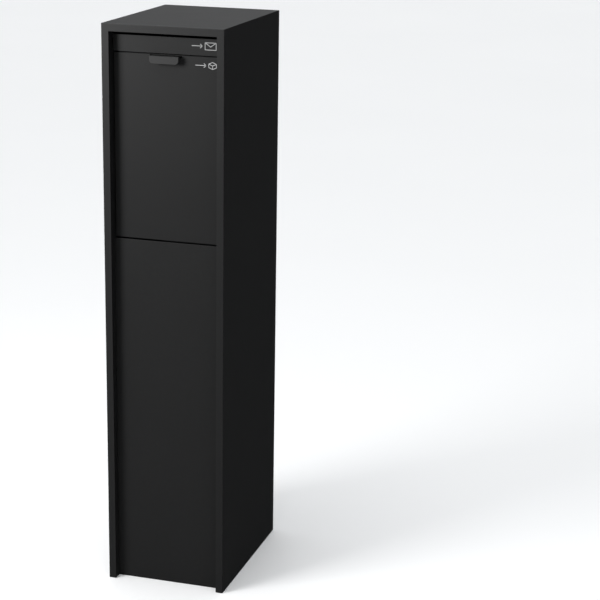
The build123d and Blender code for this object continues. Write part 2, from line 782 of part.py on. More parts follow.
def hopper_cap():
    """Sloping cover between the door skin and the inner panel."""
    y0 = skin_back_y
    y1 = inner_panel_y - panel_sheet
    drop = (y1 - y0) * tray_slope
    outline = [(y0, cap_front_z), (y1, cap_front_z - drop), (y1, cap_front_z - drop - panel_sheet),
               (y0, cap_front_z - panel_sheet)]
    return side_plate(outline, -cheek_inner, cheek_inner)


def cheek_corners():
    """Outline of a cheek, as (y, z) points, and the ends of its rear edge."""
    front = skin_back_y
    foot_z = pivot_z - cheek_foot_drop
    low_z = ledge_rear_z + cheek_edge_rise
    edge_low = (cheek_edge_y(low_z), low_z)
    lean = tan(radians(cheek_angle))
    cheek_top = tray_height(front) - cheek_top_gap
    rise = cheek_top - pivot_z + front * tray_slope
    top_y = (cheek_edge_y(pivot_z) + rise * lean) / (1 + tray_slope * lean)
    edge_high = (top_y, cheek_top - (top_y - front) * tray_slope)
    outline = [(front, pivot_z + cheek_front_rise), (baffle_face_y - cheek_foot_reach, foot_z),
               (baffle_rear_y, foot_z), (baffle_rear_y, ledge_rear_z + cheek_step_rise), edge_low,
               edge_high, (front, cheek_top)]
    return outline, edge_low, edge_high


def cheek(side):
    """Side wall of the hopper, with a stop flange along its leaning rear edge."""
    outline, edge_low, edge_high = cheek_corners()
    inner = side * cheek_inner
    outer = side * cheek_outer
    wall = side_plate(outline, inner, outer)
    lean = radians(cheek_angle)
    inward = (-panel_sheet * cos(lean), panel_sheet * sin(lean))
    strip = [edge_low, edge_high, (edge_high[0] + inward[0], edge_high[1] + inward[1]),
             (edge_low[0] + inward[0], edge_low[1] + inward[1])]
    wall += side_plate(strip, inner, side * (cheek_outer + stop_flange_width))
    for y, z in hopper_rivet_places():
        wall -= cross_rod(rivet_radius, inner, outer, y, z)
    return wall - cross_rod(bush_radius, inner, outer, pivot_y, pivot_z)


def hopper_ledge():
    """Sloping ledge that the parcel stands on, level when the hopper is open."""
    y0 = skin_back_y
    y1 = baffle_face_y
    outline = [(y0, ledge_height(y0)), (y1, ledge_height(y1)), (y1, ledge_height(y1) - panel_sheet),
               (y0, ledge_height(y0) - panel_sheet)]
    return side_plate(outline, -cheek_inner, cheek_inner)


def baffle_plate():
    """Plate that hangs from the ledge and shuts the shaft when the hopper opens."""
    bottom = pivot_z - baffle_drop
    foot_half = cheek_inner - baffle_foot_inset
    plate = slab(-cheek_inner, cheek_inner, baffle_face_y, baffle_back_y, bottom, ledge_rear_z)
    for side in (-1, 1):
        inner = side * (cheek_inner - panel_sheet)
        outer = side * cheek_inner
        plate += slab(inner, outer, baffle_back_y, baffle_rear_y, bottom, ledge_rear_z)
        plate -= cross_rod(bush_radius, inner, outer, pivot_y, pivot_z)
        for y, z in hopper_rivet_places():
            plate -= cross_rod(rivet_radius, inner, outer, y, z)
    return plate + slab(-foot_half, foot_half, baffle_back_y, baffle_back_y + baffle_foot, bottom,
                        bottom + panel_sheet)


def pivot_bush(side):
    """Flanged nylon bush of the hopper."""
    bore = pivot_pin_radius + running_clearance
    inner = (side * (cheek_inner - panel_sheet - bush_past_flange), pivot_y, pivot_z)
    face = (side * cheek_outer, pivot_y, pivot_z)
    outer = (side * (cheek_outer + bush_flange_sheet), pivot_y, pivot_z)
    return tube(bush_radius, bore, inner, face) + tube(bush_radius + bush_flange, bore, face, outer)


def hopper_rivet_places():
    """(y, z) places where the cheeks are riveted to the baffle's flanges."""
    return [(baffle_back_y + baffle_flange / 2, pivot_z - drop) for drop in hopper_rivet_drops]


def hopper_rivets():
    """Rivets through the cheeks and the baffle's flanges, headed inside."""
    rivets = []
    for side in (-1, 1):
        for y, z in hopper_rivet_places():
            rivets.append(domed_pin(rivet_radius, rivet_head, (side * (cheek_inner - panel_sheet), y, z),
                                    (side * cheek_outer, y, z)))
    return joined(rivets)


# ---- rear door ----------------------------------------------------------------------
def barrel_block(y0, y1):
    """The flatted round section of the lock's barrel."""
    return lock_rod(barrel_radius, y0, y1) & lock_block(barrel_flats, y0, y1, barrel_radius * 3)


def rear_door_pan():
    """Folded door: face, edges and inner lips, with pivot and lock holes."""
    half = moving_half
    inner = half - casing_sheet
    z0 = door_bottom + casing_sheet
    z1 = door_top - casing_sheet
    pan = slab(-half, half, door_back_y, door_face_y, door_bottom, door_top)
    pan -= slab(-inner, inner, door_back_y - overcut, door_face_y - casing_sheet, z0, z1)
    lips = slab(-inner, inner, door_back_y, door_back_y + panel_sheet, z0, z1)
    lips -= slab(-half + lip_width, half - lip_width, door_back_y - overcut,
                 door_back_y + panel_sheet + overcut, door_bottom + lip_width, door_top - lip_width)
    pan += lips
    for x in (-half, half):
        pan = fillet(edges_at(pan, Axis.Z, X=x, Y=door_face_y), bend_radius)
    pan -= upright_rod(hinge_bush_radius, hinge_x, hinge_y, door_bottom - overcut, z0 + overcut)
    pan -= upright_rod(hinge_bush_radius, hinge_x, hinge_y, z1 - overcut, door_top + overcut)
    return pan - barrel_block(door_back_y - overcut, door_face_y + overcut)


def door_stiffener():
    """Upright hat section welded inside the door."""
    z0 = door_bottom + lip_width + stiffener_end_gap
    z1 = door_top - lip_width - stiffener_end_gap
    x = stiffener_offset
    back = door_face_y - casing_sheet
    front = door_back_y + stiffener_gap
    web = front + panel_sheet
    section = slab(x - stiffener_half, x + stiffener_half, front, web, z0, z1)
    for side in (-1, 1):
        edge = x + side * stiffener_half
        section += slab(edge - side * panel_sheet, edge, web, back, z0, z1)
        section += slab(edge, edge + side * stiffener_brim, back - panel_sheet, back, z0, z1)
    return section


def door_gasket():
    """Foam strips on the door's lips, which meet the frame's upstand."""
    y0 = upstand_y + slide_clearance
    y1 = door_back_y
    half_seal = seal_width / 2
    inner = frame_inner + casing_sheet / 2 - half_seal
    low = sill_top - casing_sheet / 2
    high = frame_top + casing_sheet / 2
    strips = [slab(side * inner, side * (inner + seal_width), y0, y1, low - half_seal, high + half_seal)
              for side in (-1, 1)]
    for middle in (low, high):
        strips.append(slab(-inner, inner, y0, y1, middle - half_seal, middle + half_seal))
    return joined(strips)


def hinge_ends(end):
    """Direction out of the door, the door's edge and the outside of the casing's flange."""
    if end == "upper":
        return 1, door_top, opening_top + casing_sheet
    return -1, door_bottom, plinth_height - casing_sheet


def hinge_pin(end):
    """Pivot pin of the rear door, with its head outside the frame's flange."""
    out, edge, seat = hinge_ends(end)
    shank = upright_rod(hinge_pin_radius, hinge_x, hinge_y, edge - out * hinge_pin_reach, seat)
    return shank + upright_rod(hinge_head_radius, hinge_x, hinge_y, seat, seat + out * hinge_head_height)


def hinge_bush(end):
    """Flanged nylon bush in the door's edge."""
    out, edge, seat = hinge_ends(end)
    bore = hinge_pin_radius + running_clearance
    inner = (hinge_x, hinge_y, edge - out * hinge_bush_reach)
    face = (hinge_x, hinge_y, edge)
    outer = (hinge_x, hinge_y, edge + out * (door_gap - hinge_end_gap))
    return tube(hinge_bush_radius, bore, inner, face) + tube(hinge_flange_radius, bore, face, outer)


# ---- lock ---------------------------------------------------------------------------
def lock_housing():
    """Cam lock body: domed round head and a flatted, threaded barrel."""
    tail_y = cam_rear_y + barrel_past_cam
    head = lock_rod(lock_head_radius, door_face_y, rear_rim_y)
    head = fillet(head.edges().sort_by(Axis.Y)[-1], lock_head_edge)
    bore = lock_rod(plug_radius + running_clearance, tail_y - overcut, rear_rim_y + overcut)
    return head + barrel_block(tail_y, door_face_y) - bore


def lock_nut():
    """Nut that clamps the lock to the door from inside."""
    seat = door_face_y - casing_sheet
    return hex_nut(nut_flats, barrel_radius, (lock_x, seat - nut_height, lock_height),
                   (lock_x, seat, lock_height))


def lock_plug():
    """Turning plug with a keyway and a square tail."""
    face_y = rear_rim_y - plug_set_back
    plug = lock_rod(plug_radius, cam_rear_y, face_y)
    plug -= lock_block(keyway_width, face_y - keyway_depth, face_y + overcut, keyway_height)
    plug += lock_block(cam_square, cam_front_y, cam_rear_y, cam_square)
    return plug - lock_rod(cam_screw_radius, cam_front_y - overcut, cam_front_y + cam_screw_hole)


def lock_cam():
    """Flat cam with a square hole and a rounded tip, hanging down when unlocked."""
    half = cam_width / 2
    tip = lock_height - cam_length + half
    cam = slab(lock_x - half, lock_x + half, cam_front_y, cam_rear_y, tip, lock_height)
    for z in (tip, lock_height):
        cam += rod(half, (lock_x, cam_front_y, z), (lock_x, cam_rear_y, z))
    return cam - lock_block(cam_square, cam_front_y - overcut, cam_rear_y + overcut, cam_square)


def cam_screw():
    """Screw that holds the cam on the plug's tail."""
    head_y = cam_front_y - cam_screw_head_height
    head = lock_rod(cam_screw_head, head_y, cam_front_y)
    head = fillet(head.edges().sort_by(Axis.Y)[0], cam_screw_edge)
    shank = lock_rod(cam_screw_radius, cam_front_y, cam_front_y + cam_screw_length)
    slot = lock_block(cam_slot_length, head_y - overcut, head_y + cam_slot_depth, cam_slot_width)
    return head + shank - slot


# ---- output -------------------------------------------------------------------------
def build_nodes():
    nodes = {
        "top_panel": top_panel(),
        "lower_front_panel": lower_front_panel(),
        "compartment_floor": compartment_floor(),
        "base_plate": base_plate(),
        "rear_plinth": rear_plinth(),
        "plinth_screws": plinth_screws(),
        "plinth_bracket": plinth_bracket(),
        "rear_lintel": lintel(),
        "rear_sill": sill(),
        "strike_plate": strike_plate(),
        "strike_rivets": strike_rivets(),
        "letter_tray": letter_tray(),
        "parcel_door_bumpers": parcel_door_bumpers(),
        "letter_flap": letter_flap(),
        "flap_rod": flap_rod(),
        "flap_spring": flap_spring(),
        "bracket_rivets": bracket_rivets(),
        "pivot_clips": pivot_clips(),
        "stop_buffers": stop_buffers(),
        "parcel_door": parcel_door(),
        "finger_pull": finger_pull(),
        "hopper_inner_panel": inner_panel(),
        "hopper_cap": hopper_cap(),
        "hopper_ledge": hopper_ledge(),
        "baffle_plate": baffle_plate(),
        "hopper_rivets": hopper_rivets(),
        "rear_door_pan": rear_door_pan(),
        "door_stiffener": door_stiffener(),
        "door_gasket": door_gasket(),
        "lock_housing": lock_housing(),
        "lock_nut": lock_nut(),
        "lock_plug": lock_plug(),
        "lock_cam": lock_cam(),
        "cam_screw": cam_screw(),
    }
    for name, side in (("left", -1), ("right", 1)):
        nodes[name + "_side_panel"] = side_panel(side)
        nodes[name + "_pivot_bracket"] = pivot_bracket(side)
        nodes[name + "_pivot_pin"] = pivot_pin(side)
        nodes[name + "_spring_peg"] = spring_peg(side)
        nodes[name + "_hopper_spring"] = hopper_spring(side)
        nodes[name + "_stop_bracket"] = stop_bracket(side)
        nodes[name + "_cheek"] = cheek(side)
        nodes[name + "_pivot_bush"] = pivot_bush(side)
    for name, side in (("lock_jamb", -1), ("hinge_jamb", 1)):
        nodes[name] = jamb(side)
    for end in ("upper", "lower"):
        nodes[end + "_hinge_pin"] = hinge_pin(end)
        nodes[end + "_hinge_bush"] = hinge_bush(end)
    return nodes


if __name__ == "__main__":
    os.makedirs("parts", exist_ok=True)
    for node, solid in build_nodes().items():
        export_step(solid, os.path.join("parts", node + ".step"))
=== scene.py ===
import json
import math

import bmesh
import bpy
from mathutils import Matrix, Vector


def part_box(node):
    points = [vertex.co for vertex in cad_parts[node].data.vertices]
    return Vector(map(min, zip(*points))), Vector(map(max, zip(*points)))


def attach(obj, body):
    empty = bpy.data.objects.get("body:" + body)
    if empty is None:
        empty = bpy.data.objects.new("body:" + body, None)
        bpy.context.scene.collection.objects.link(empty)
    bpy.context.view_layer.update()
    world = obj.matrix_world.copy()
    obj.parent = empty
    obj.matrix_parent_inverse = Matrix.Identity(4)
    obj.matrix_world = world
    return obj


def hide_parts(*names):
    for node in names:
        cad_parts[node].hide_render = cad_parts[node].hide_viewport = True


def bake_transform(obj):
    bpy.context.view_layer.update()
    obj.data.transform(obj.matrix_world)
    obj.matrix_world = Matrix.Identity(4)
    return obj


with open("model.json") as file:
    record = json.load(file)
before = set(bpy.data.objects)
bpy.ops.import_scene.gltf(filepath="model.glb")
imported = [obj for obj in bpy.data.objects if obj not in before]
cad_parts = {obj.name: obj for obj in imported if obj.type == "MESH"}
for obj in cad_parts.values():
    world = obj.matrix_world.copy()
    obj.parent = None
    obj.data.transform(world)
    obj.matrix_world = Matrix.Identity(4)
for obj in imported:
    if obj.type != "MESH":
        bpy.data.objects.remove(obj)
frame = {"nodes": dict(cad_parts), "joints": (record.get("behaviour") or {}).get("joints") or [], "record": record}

bl_info = {
    "name": "Parcel Drop Box",
    "version": (1, 0, 0),
    "blender": (4, 5, 0),
    "location": "3D View > Sidebar > Drop Box",
    "description": "Dresses the drop box's sheet metal, lock, springs, seals and fasteners",
    "category": "Object",
}

NODES = frame["nodes"]
BODY_OF = {name: body for body, names in frame["record"]["behaviour"]["bodies"].items() for name in names}
SLOT_OF = {part["node"]: part["material_slot"] for part in frame["record"]["subparts"]}
PIVOT = {joint["name"]: Vector(joint["pos_m"]) for joint in frame["joints"]}
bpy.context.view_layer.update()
MM = 0.001
MERGE_DISTANCE = 0.00001
FLAT_ANGLE = math.radians(0.6)
SHARP_ANGLE = math.radians(32)
NORMAL_WEIGHT = 80

# Inputs and output of a Mix node for colours, by their place, because their names repeat.
MIX_SHARE, MIX_FIRST, MIX_SECOND, MIX_RESULT = 0, 6, 7, 2
# What a group's colour sockets hold until a material fills them.
BLACK = (0.02, 0.02, 0.02)

# How many patches a pattern has in a metre; hairlines are drawn out along Z.
BROAD_PATCHES = 7.0
SMALL_PATCHES = 60.0
RUBBED_PATCHES = 130.0
DUST_CLOUDS = 14.0
PLATING_CLOUDS = 45.0
HAIRLINES = 900.0
HAIR_STRETCH = (1.0, 1.0, 0.06)

# Where each mask starts and where it is full.
RUBBED_BEND = (0.56, 0.66)
RUBBED_GAPS = (0.35, 0.72)
DUSTY_SLOPE = (0.55, 0.98)
DUST_GAPS = (0.38, 0.74)

# How strongly one pattern acts on another.
BROAD_SHARE = 0.65
SMALL_SHARE = 0.35
SPECK_SHARE = 0.8
SHEEN_SHARE = 0.35
DUST_DULLING = 0.5
CLOUD_DULLING = 0.12
RUBBED_LIGHTER = 4.2
MOULDED_DUST = 0.1

# Edge rounding: of thinner sheet as a share of the casing's, and of the nut as a multiple of the fine edge.
DOOR_EDGE = 0.8
HOPPER_EDGE = 0.7
NUT_EDGE = 2

# How finely round shapes are divided.
BEND_STEPS = 5
CORNER_STEPS = 3
COIL_STEPS = 28
WIRE_STEPS = 12
DOME_STEPS = 6
BEZEL_STEPS = 8
HEAD_STEPS = 72
BARREL_STEPS = 60
# Rows of a thread in each turn, and the rows over which it runs out at the barrel's tip.
THREAD_ROWS = 4
THREAD_RUN_OUT = 6

# Heads of the fasteners, and how much narrower a cross recess is at its foot.
RIVET_HEAD = 1.65 * MM
SCREW_HEAD = 1.6 * MM
RECESS_TAPER = 0.55


# ---- settings ----
def length(name, description, default):
    return bpy.props.FloatProperty(name=name, description=description, default=default,
                                   min=0.0, unit="LENGTH", precision=5)


def colour(name, description, default):
    return bpy.props.FloatVectorProperty(name=name, description=description, default=default,
                                         min=0.0, max=1.0, size=3, subtype="COLOR")


def share(name, description, default):
    return bpy.props.FloatProperty(name=name, description=description, default=default,
                                   min=0.0, max=1.0, subtype="FACTOR")


class DropBoxSizes(bpy.types.PropertyGroup):
    """Sizes of the details that are added to the sheet metal."""

    sheet_edge: length("Sheet edge", "Rounding of a cut or folded sheet edge", 0.45 * MM)
    fine_edge: length("Fine edge", "Rounding of small turned and stamped pieces", 0.2 * MM)
    grain: length("Coat grain", "Size of the powder coat's fine texture", 0.9 * MM)
    spring_wire: length("Spring wire", "Wire of the hopper's closing springs", 2.2 * MM)
    thread_pitch: length("Thread pitch", "Pitch of the lock barrel's thread", 1.5 * MM)
    thread_depth: length("Thread depth", "Depth of the lock barrel's thread", 0.7 * MM)
    sign_stroke: length("Sign stroke", "Line width of the printed signs", 1.35 * MM)
    sign_height: length("Sign height", "Height of the printed signs", 14.0 * MM)
    print_thickness: length("Print thickness", "Thickness of the printed signs", 0.12 * MM)
    seal_round: length("Seal rounding", "Corner radius of the foam seal's section", 1.1 * MM)


class DropBoxColours(bpy.types.PropertyGroup):
    """Colours of the finishes."""

    # Painted light: the casing coat is a lighter copy of the door coat, so that the rims and outer sheets read
    # lighter as if they caught more light.
    casing: colour("Casing coat", "Powder coat of the casing", (0.0132, 0.0132, 0.0133))
    panel: colour("Door coat", "Powder coat of the doors and panels", (0.0124, 0.0124, 0.0125))
    inside: colour("Inner coat", "Powder coat inside the casing", (0.0085, 0.0086, 0.0088))
    # Painted shade: the inner coat is a darker copy of the outer powder coat, standing in for the shade inside the
    # casing.
    zinc: colour("Zinc", "Bright zinc plating", (0.52, 0.53, 0.55))
    spring: colour("Spring steel", "Oiled dark steel of the springs", (0.09, 0.088, 0.086))
    chrome: colour("Chrome", "Chrome plating", (0.74, 0.75, 0.77))
    nylon: colour("Nylon", "Natural nylon", (0.62, 0.6, 0.54))
    rubber: colour("Rubber", "Black rubber", (0.018, 0.018, 0.019))
    foam: colour("Foam", "Closed-cell foam seal", (0.026, 0.026, 0.028))
    ink: colour("Print", "Light print of the signs", (0.42, 0.42, 0.42))
    dust: colour("Dust", "Dust on upward faces", (0.16, 0.155, 0.145))
    floor: colour("Floor", "Studio floor", (0.96, 0.96, 0.96))
    wear: share("Edge wear", "How far the coat's edges are rubbed lighter", 0.35)


def sizes():
    return bpy.context.scene.drop_box_sizes


def colours():
    return bpy.context.scene.drop_box_colours


# ---- node helpers ----
class Board:
    """A node tree with short calls for adding, setting and linking nodes."""

    def __init__(self, tree):
        self.tree = tree

    def add(self, kind, inputs=None, **settings):
        node = self.tree.nodes.new(kind)
        for name, value in settings.items():
            setattr(node, name, value)
        for name, value in (inputs or {}).items():
            if isinstance(value, bpy.types.NodeSocket):
                self.tree.links.new(value, node.inputs[name])
            else:
                node.inputs[name].default_value = value
        return node

    def first(self, kind, inputs=None, **settings):
        """Adds a node and gives its first output."""
        return self.add(kind, inputs, **settings).outputs[0]

    def math(self, operation, first, second=0.0, clamp=False):
        return self.first("ShaderNodeMath", {0: first, 1: second}, operation=operation, use_clamp=clamp)

    def spread(self, value, low, high, to_low=0.0, to_high=1.0):
        return self.first("ShaderNodeMapRange", {
            "Value": value, "From Min": low, "From Max": high, "To Min": to_low, "To Max": to_high})

    def swing(self, value, amount):
        """A value between 0 and 1, centred on zero and scaled."""
        return self.math("MULTIPLY", self.math("SUBTRACT", value, 0.5), amount)

    def mix(self, share_of, first, second, blend="MIX"):
        return self.add("ShaderNodeMix", {MIX_SHARE: share_of, MIX_FIRST: first, MIX_SECOND: second},
                        data_type="RGBA", blend_type=blend).outputs[MIX_RESULT]

    def tinted(self, base, level):
        """A colour made lighter or darker by a level about one."""
        tint = self.first("ShaderNodeCombineColor", {0: level, 1: level, 2: level})
        return self.mix(1.0, base, tint, "MULTIPLY")

    def noise(self, scale, detail=3.0, roughness=0.5, stretch=None):
        place = self.add("ShaderNodeTexCoord").outputs["Object"]
        if stretch:
            place = self.first("ShaderNodeMapping", {"Vector": place, "Scale": stretch})
        return self.first("ShaderNodeTexNoise", {
            "Vector": place, "Scale": scale, "Detail": detail, "Roughness": roughness})


def group_of(name, inputs, outputs, build):
    """A shader node group, made once and then found again by its name."""
    tree = bpy.data.node_groups.get(name)
    if tree:
        return tree
    tree = bpy.data.node_groups.new(name, "ShaderNodeTree")
    for label, value in inputs.items():
        kind = "NodeSocketColor" if isinstance(value, tuple) else "NodeSocketFloat"
        tree.interface.new_socket(name=label, in_out="INPUT", socket_type=kind).default_value = value
    for label in outputs:
        kind = "NodeSocketColor" if label == "Colour" else "NodeSocketFloat"
        tree.interface.new_socket(name=label, in_out="OUTPUT", socket_type=kind)
    board = Board(tree)
    board.add("NodeGroupOutput", build(board, board.add("NodeGroupInput").outputs))
    return tree


def fill_group(board, tree, inputs):
    """Places a group in a material with its own values and gives its outputs."""
    return board.add("ShaderNodeGroup", inputs, node_tree=tree).outputs


def rgba(value):
    return (*value, 1.0)


# ---- shared effects ----
def coat_grain():
    """Orange-peel texture and broad mottling of a powder coat."""
    def build(board, entry):
        fine = board.noise(board.math("DIVIDE", 1.0, entry["Grain"]), detail=2.0, roughness=0.6)
        broad = board.noise(BROAD_PATCHES, detail=4.0, roughness=0.62)
        small = board.noise(SMALL_PATCHES, detail=3.0, roughness=0.55)
        patches = board.math("ADD", board.math("MULTIPLY", broad, BROAD_SHARE),
                             board.math("MULTIPLY", small, SMALL_SHARE))
        swing = board.swing(patches, entry["Mottle"])
        speck = board.swing(fine, board.math("MULTIPLY", entry["Mottle"], SPECK_SHARE))
        level = board.math("ADD", board.math("ADD", swing, speck), 1.0)
        sheen = board.math("ADD", entry["Roughness"], board.math("MULTIPLY", swing, SHEEN_SHARE), clamp=True)
        return {"Colour": board.tinted(entry["Colour"], level), "Roughness": sheen, "Height": fine}
    return group_of("coat_grain", {"Colour": rgba(BLACK), "Roughness": 0.5, "Mottle": 0.3, "Grain": MM},
                    ("Colour", "Roughness", "Height"), build)


def rubbed_edges():
    """Lighter edges where hands and parcels rub."""
    def build(board, entry):
        edge = board.spread(board.add("ShaderNodeNewGeometry").outputs["Pointiness"], *RUBBED_BEND)
        broken = board.spread(board.noise(RUBBED_PATCHES, detail=4.0, roughness=0.65), *RUBBED_GAPS)
        mask = board.math("MULTIPLY", board.math("MULTIPLY", edge, broken), entry["Amount"], clamp=True)
        return {"Colour": board.mix(mask, entry["Colour"], entry["Rubbed"])}
    return group_of("rubbed_edges", {"Colour": rgba(BLACK), "Rubbed": rgba(BLACK), "Amount": 0.4},
                    ("Colour",), build)


def settled_dust():
    """Thin dust on faces that look upwards, in clouds."""
    def build(board, entry):
        facing = board.add("ShaderNodeNewGeometry").outputs["Normal"]
        up = board.add("ShaderNodeSeparateXYZ", {0: facing}).outputs["Z"]
        level = board.spread(up, *DUSTY_SLOPE)
        clouds = board.spread(board.noise(DUST_CLOUDS, detail=6.0, roughness=0.68), *DUST_GAPS)
        mask = board.math("MULTIPLY", board.math("MULTIPLY", level, clouds), entry["Amount"], clamp=True)
        matt = board.math("ADD", entry["Roughness"], board.math("MULTIPLY", mask, DUST_DULLING), clamp=True)
        return {"Colour": board.mix(mask, entry["Colour"], entry["Dust"]), "Roughness": matt}
    inputs = {"Colour": rgba(BLACK), "Dust": rgba(BLACK), "Roughness": 0.5, "Amount": 0.2}
    return group_of("settled_dust", inputs, ("Colour", "Roughness"), build)


def fine_scratches():
    """Hairline scratches and a faint clouding of bare or plated metal."""
    def build(board, entry):
        hair = board.noise(HAIRLINES, detail=2.0, roughness=0.7, stretch=HAIR_STRETCH)
        cloud = board.noise(PLATING_CLOUDS, detail=4.0, roughness=0.6)
        level = board.math("ADD", board.swing(cloud, entry["Cloud"]), 1.0)
        uneven = board.math("ADD", board.swing(hair, entry["Amount"]), board.swing(cloud, CLOUD_DULLING))
        rough = board.math("ADD", entry["Roughness"], uneven, clamp=True)
        return {"Colour": board.tinted(entry["Colour"], level), "Roughness": rough, "Height": hair}
    return group_of("fine_scratches", {"Colour": rgba(BLACK), "Roughness": 0.3, "Amount": 0.2, "Cloud": 0.2},
                    ("Colour", "Roughness", "Height"), build)


# ---- finishes ----
def finish(name, build):
    """A material, made once and then found again by its name."""
    made = bpy.data.materials.get(name)
    if made:
        return made
    made = bpy.data.materials.new(name)
    made.use_nodes = True
    made.node_tree.nodes.clear()
    board = Board(made.node_tree)
    shader = board.add("ShaderNodeBsdfPrincipled")
    board.add("ShaderNodeOutputMaterial", {"Surface": shader.outputs[0]})
    build(board, shader)
    return made


def plug_in(board, shader, top, height, strength, depth):
    """Feeds the shader the top layer's colour and roughness, and a bump from the height."""
    bump = board.first("ShaderNodeBump", {"Strength": strength, "Distance": depth, "Height": height})
    for source, target in ((top["Colour"], "Base Color"), (top["Roughness"], "Roughness"), (bump, "Normal")):
        board.tree.links.new(source, shader.inputs[target])


def dusted(board, base, roughness, amount):
    return fill_group(board, settled_dust(), {
        "Colour": base, "Dust": rgba(colours().dust), "Roughness": roughness, "Amount": amount})


def powder_coat(name, base, roughness, specular, mottle, dust):
    def build(board, shader):
        grain = fill_group(board, coat_grain(), {
            "Colour": rgba(base), "Roughness": roughness, "Mottle": mottle, "Grain": sizes().grain})
        worn = fill_group(board, rubbed_edges(), {
            "Colour": grain["Colour"], "Amount": colours().wear,
            "Rubbed": rgba([RUBBED_LIGHTER * part for part in base])})
        top = dusted(board, worn["Colour"], grain["Roughness"], dust)
        shader.inputs["Specular IOR Level"].default_value = specular
        plug_in(board, shader, top, grain["Height"], strength=0.35, depth=0.12 * MM)
    return finish(name, build)


# Painted light: the doors' powder coat made lighter for the casing, standing in for the extra light that its
# forward rims catch.
def casing_coat():
    return powder_coat("casing_coat", colours().casing, roughness=0.45, specular=0.4, mottle=0.13, dust=0.025)


def panel_coat():
    return powder_coat("panel_coat", colours().panel, roughness=0.47, specular=0.32, mottle=0.12, dust=0.03)


# Painted shade: the powder coat darkened for the parts inside the casing; its greater roughness and dust are its
# own.
def inner_coat():
    return powder_coat("inner_coat", colours().inside, roughness=0.58, specular=0.35, mottle=0.16, dust=0.12)


def plated_metal(name, base, roughness, scratches, cloud, bump):
    def build(board, shader):
        marks = fill_group(board, fine_scratches(), {
            "Colour": rgba(base), "Roughness": roughness, "Amount": scratches, "Cloud": cloud})
        shader.inputs["Metallic"].default_value = 1.0
        plug_in(board, shader, marks, marks["Height"], strength=bump, depth=0.04 * MM)
    return finish(name, build)


def zinc_plate():
    return plated_metal("zinc_plate", colours().zinc, roughness=0.34, scratches=0.22, cloud=0.3, bump=0.2)


def spring_steel():
    return plated_metal("spring_steel", colours().spring, roughness=0.42, scratches=0.2, cloud=0.3, bump=0.2)


def chrome_plate():
    return plated_metal("chrome_plate", colours().chrome, roughness=0.09, scratches=0.07, cloud=0.08,
                        bump=0.05)


def moulded(name, base, roughness, mottle, grain, bump):
    def build(board, shader):
        skin = fill_group(board, coat_grain(), {
            "Colour": rgba(base), "Roughness": roughness, "Mottle": mottle, "Grain": grain})
        top = dusted(board, skin["Colour"], skin["Roughness"], MOULDED_DUST)
        plug_in(board, shader, top, skin["Height"], strength=bump, depth=0.1 * MM)
    return finish(name, build)


def nylon():
    return moulded("natural_nylon", colours().nylon, roughness=0.42, mottle=0.12, grain=0.6 * MM, bump=0.15)


def rubber():
    return moulded("black_rubber", colours().rubber, roughness=0.72, mottle=0.3, grain=0.5 * MM, bump=0.4)


def foam():
    return moulded("foam_seal", colours().foam, roughness=0.9, mottle=0.5, grain=0.35 * MM, bump=1.0)


def ink():
    return moulded("sign_print", colours().ink, roughness=0.5, mottle=0.12, grain=0.4 * MM, bump=0.2)


FINISHES = {"powder_coat": panel_coat, "zinc_plated_steel": zinc_plate, "chrome_plate": chrome_plate,
            "nylon": nylon, "black_rubber": rubber}


# ---- mesh helpers ----
def as_piece(name, mesh, body, slot, material, nodes=()):
    """Links a finished mesh, gives it its finish and lets it ride on its body."""
    if not mesh.polygons:
        raise RuntimeError(name + " has no faces")
    mesh.name = name
    mesh.materials.clear()
    mesh.materials.append(material)
    for face in mesh.polygons:
        face.material_index = 0
    piece = bpy.data.objects.new(name, mesh)
    bpy.context.scene.collection.objects.link(piece)
    if body:
        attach(piece, body)
    if nodes:
        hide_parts(*nodes)
    return piece


def to_mesh(work, smooth=True):
    """Turns a bmesh into a mesh with its faces outward and its sharp edges kept."""
    mesh = bpy.data.meshes.new("work")
    bmesh.ops.recalc_face_normals(work, faces=work.faces)
    work.to_mesh(mesh)
    work.free()
    if smooth:
        mesh.shade_smooth()
        mesh.set_sharp_from_angle(angle=SHARP_ANGLE)
    return mesh


def evaluated_mesh(holder):
    """The mesh of an object with its modifiers, as a plain mesh; the object is removed."""
    bpy.context.view_layer.update()
    graph = bpy.context.evaluated_depsgraph_get()
    mesh = bpy.data.meshes.new_from_object(holder.evaluated_get(graph))
    bpy.data.objects.remove(holder)
    return mesh


def merged_copy(node):
    """A copy of a CAD node's mesh with its triangles joined into whole faces."""
    work = bmesh.new()
    work.from_mesh(NODES[node].data)
    bmesh.ops.remove_doubles(work, verts=work.verts, dist=MERGE_DISTANCE)
    bmesh.ops.dissolve_limit(work, angle_limit=FLAT_ANGLE, verts=work.verts, edges=work.edges)
    return work


def softened(node, edge, finish_of=None, segments=2):
    """A piece that stands for a CAD node, with its hard edges rounded."""
    work = merged_copy(node)
    mesh = bpy.data.meshes.new("work")
    work.to_mesh(mesh)
    work.free()
    mesh.shade_smooth()
    holder = bpy.data.objects.new("work", mesh)
    bpy.context.scene.collection.objects.link(holder)
    bevel = holder.modifiers.new("edge", "BEVEL")
    bevel.width = edge
    bevel.segments = segments
    bevel.limit_method = "ANGLE"
    bevel.angle_limit = SHARP_ANGLE
    bevel.use_clamp_overlap = True
    even = holder.modifiers.new("normals", "WEIGHTED_NORMAL")
    even.weight = NORMAL_WEIGHT
    even.keep_sharp = True
    slot = SLOT_OF[node]
    as_piece(node + "_finished", evaluated_mesh(holder), BODY_OF[node], slot,
             (finish_of or FINISHES[slot])(), [node])


def dressed(node):
    """A CAD node that keeps its shape and gets its finish."""
    slot = SLOT_OF[node]
    made = NODES[node]
    made.data.materials.clear()
    made.data.materials.append(FINISHES[slot]())


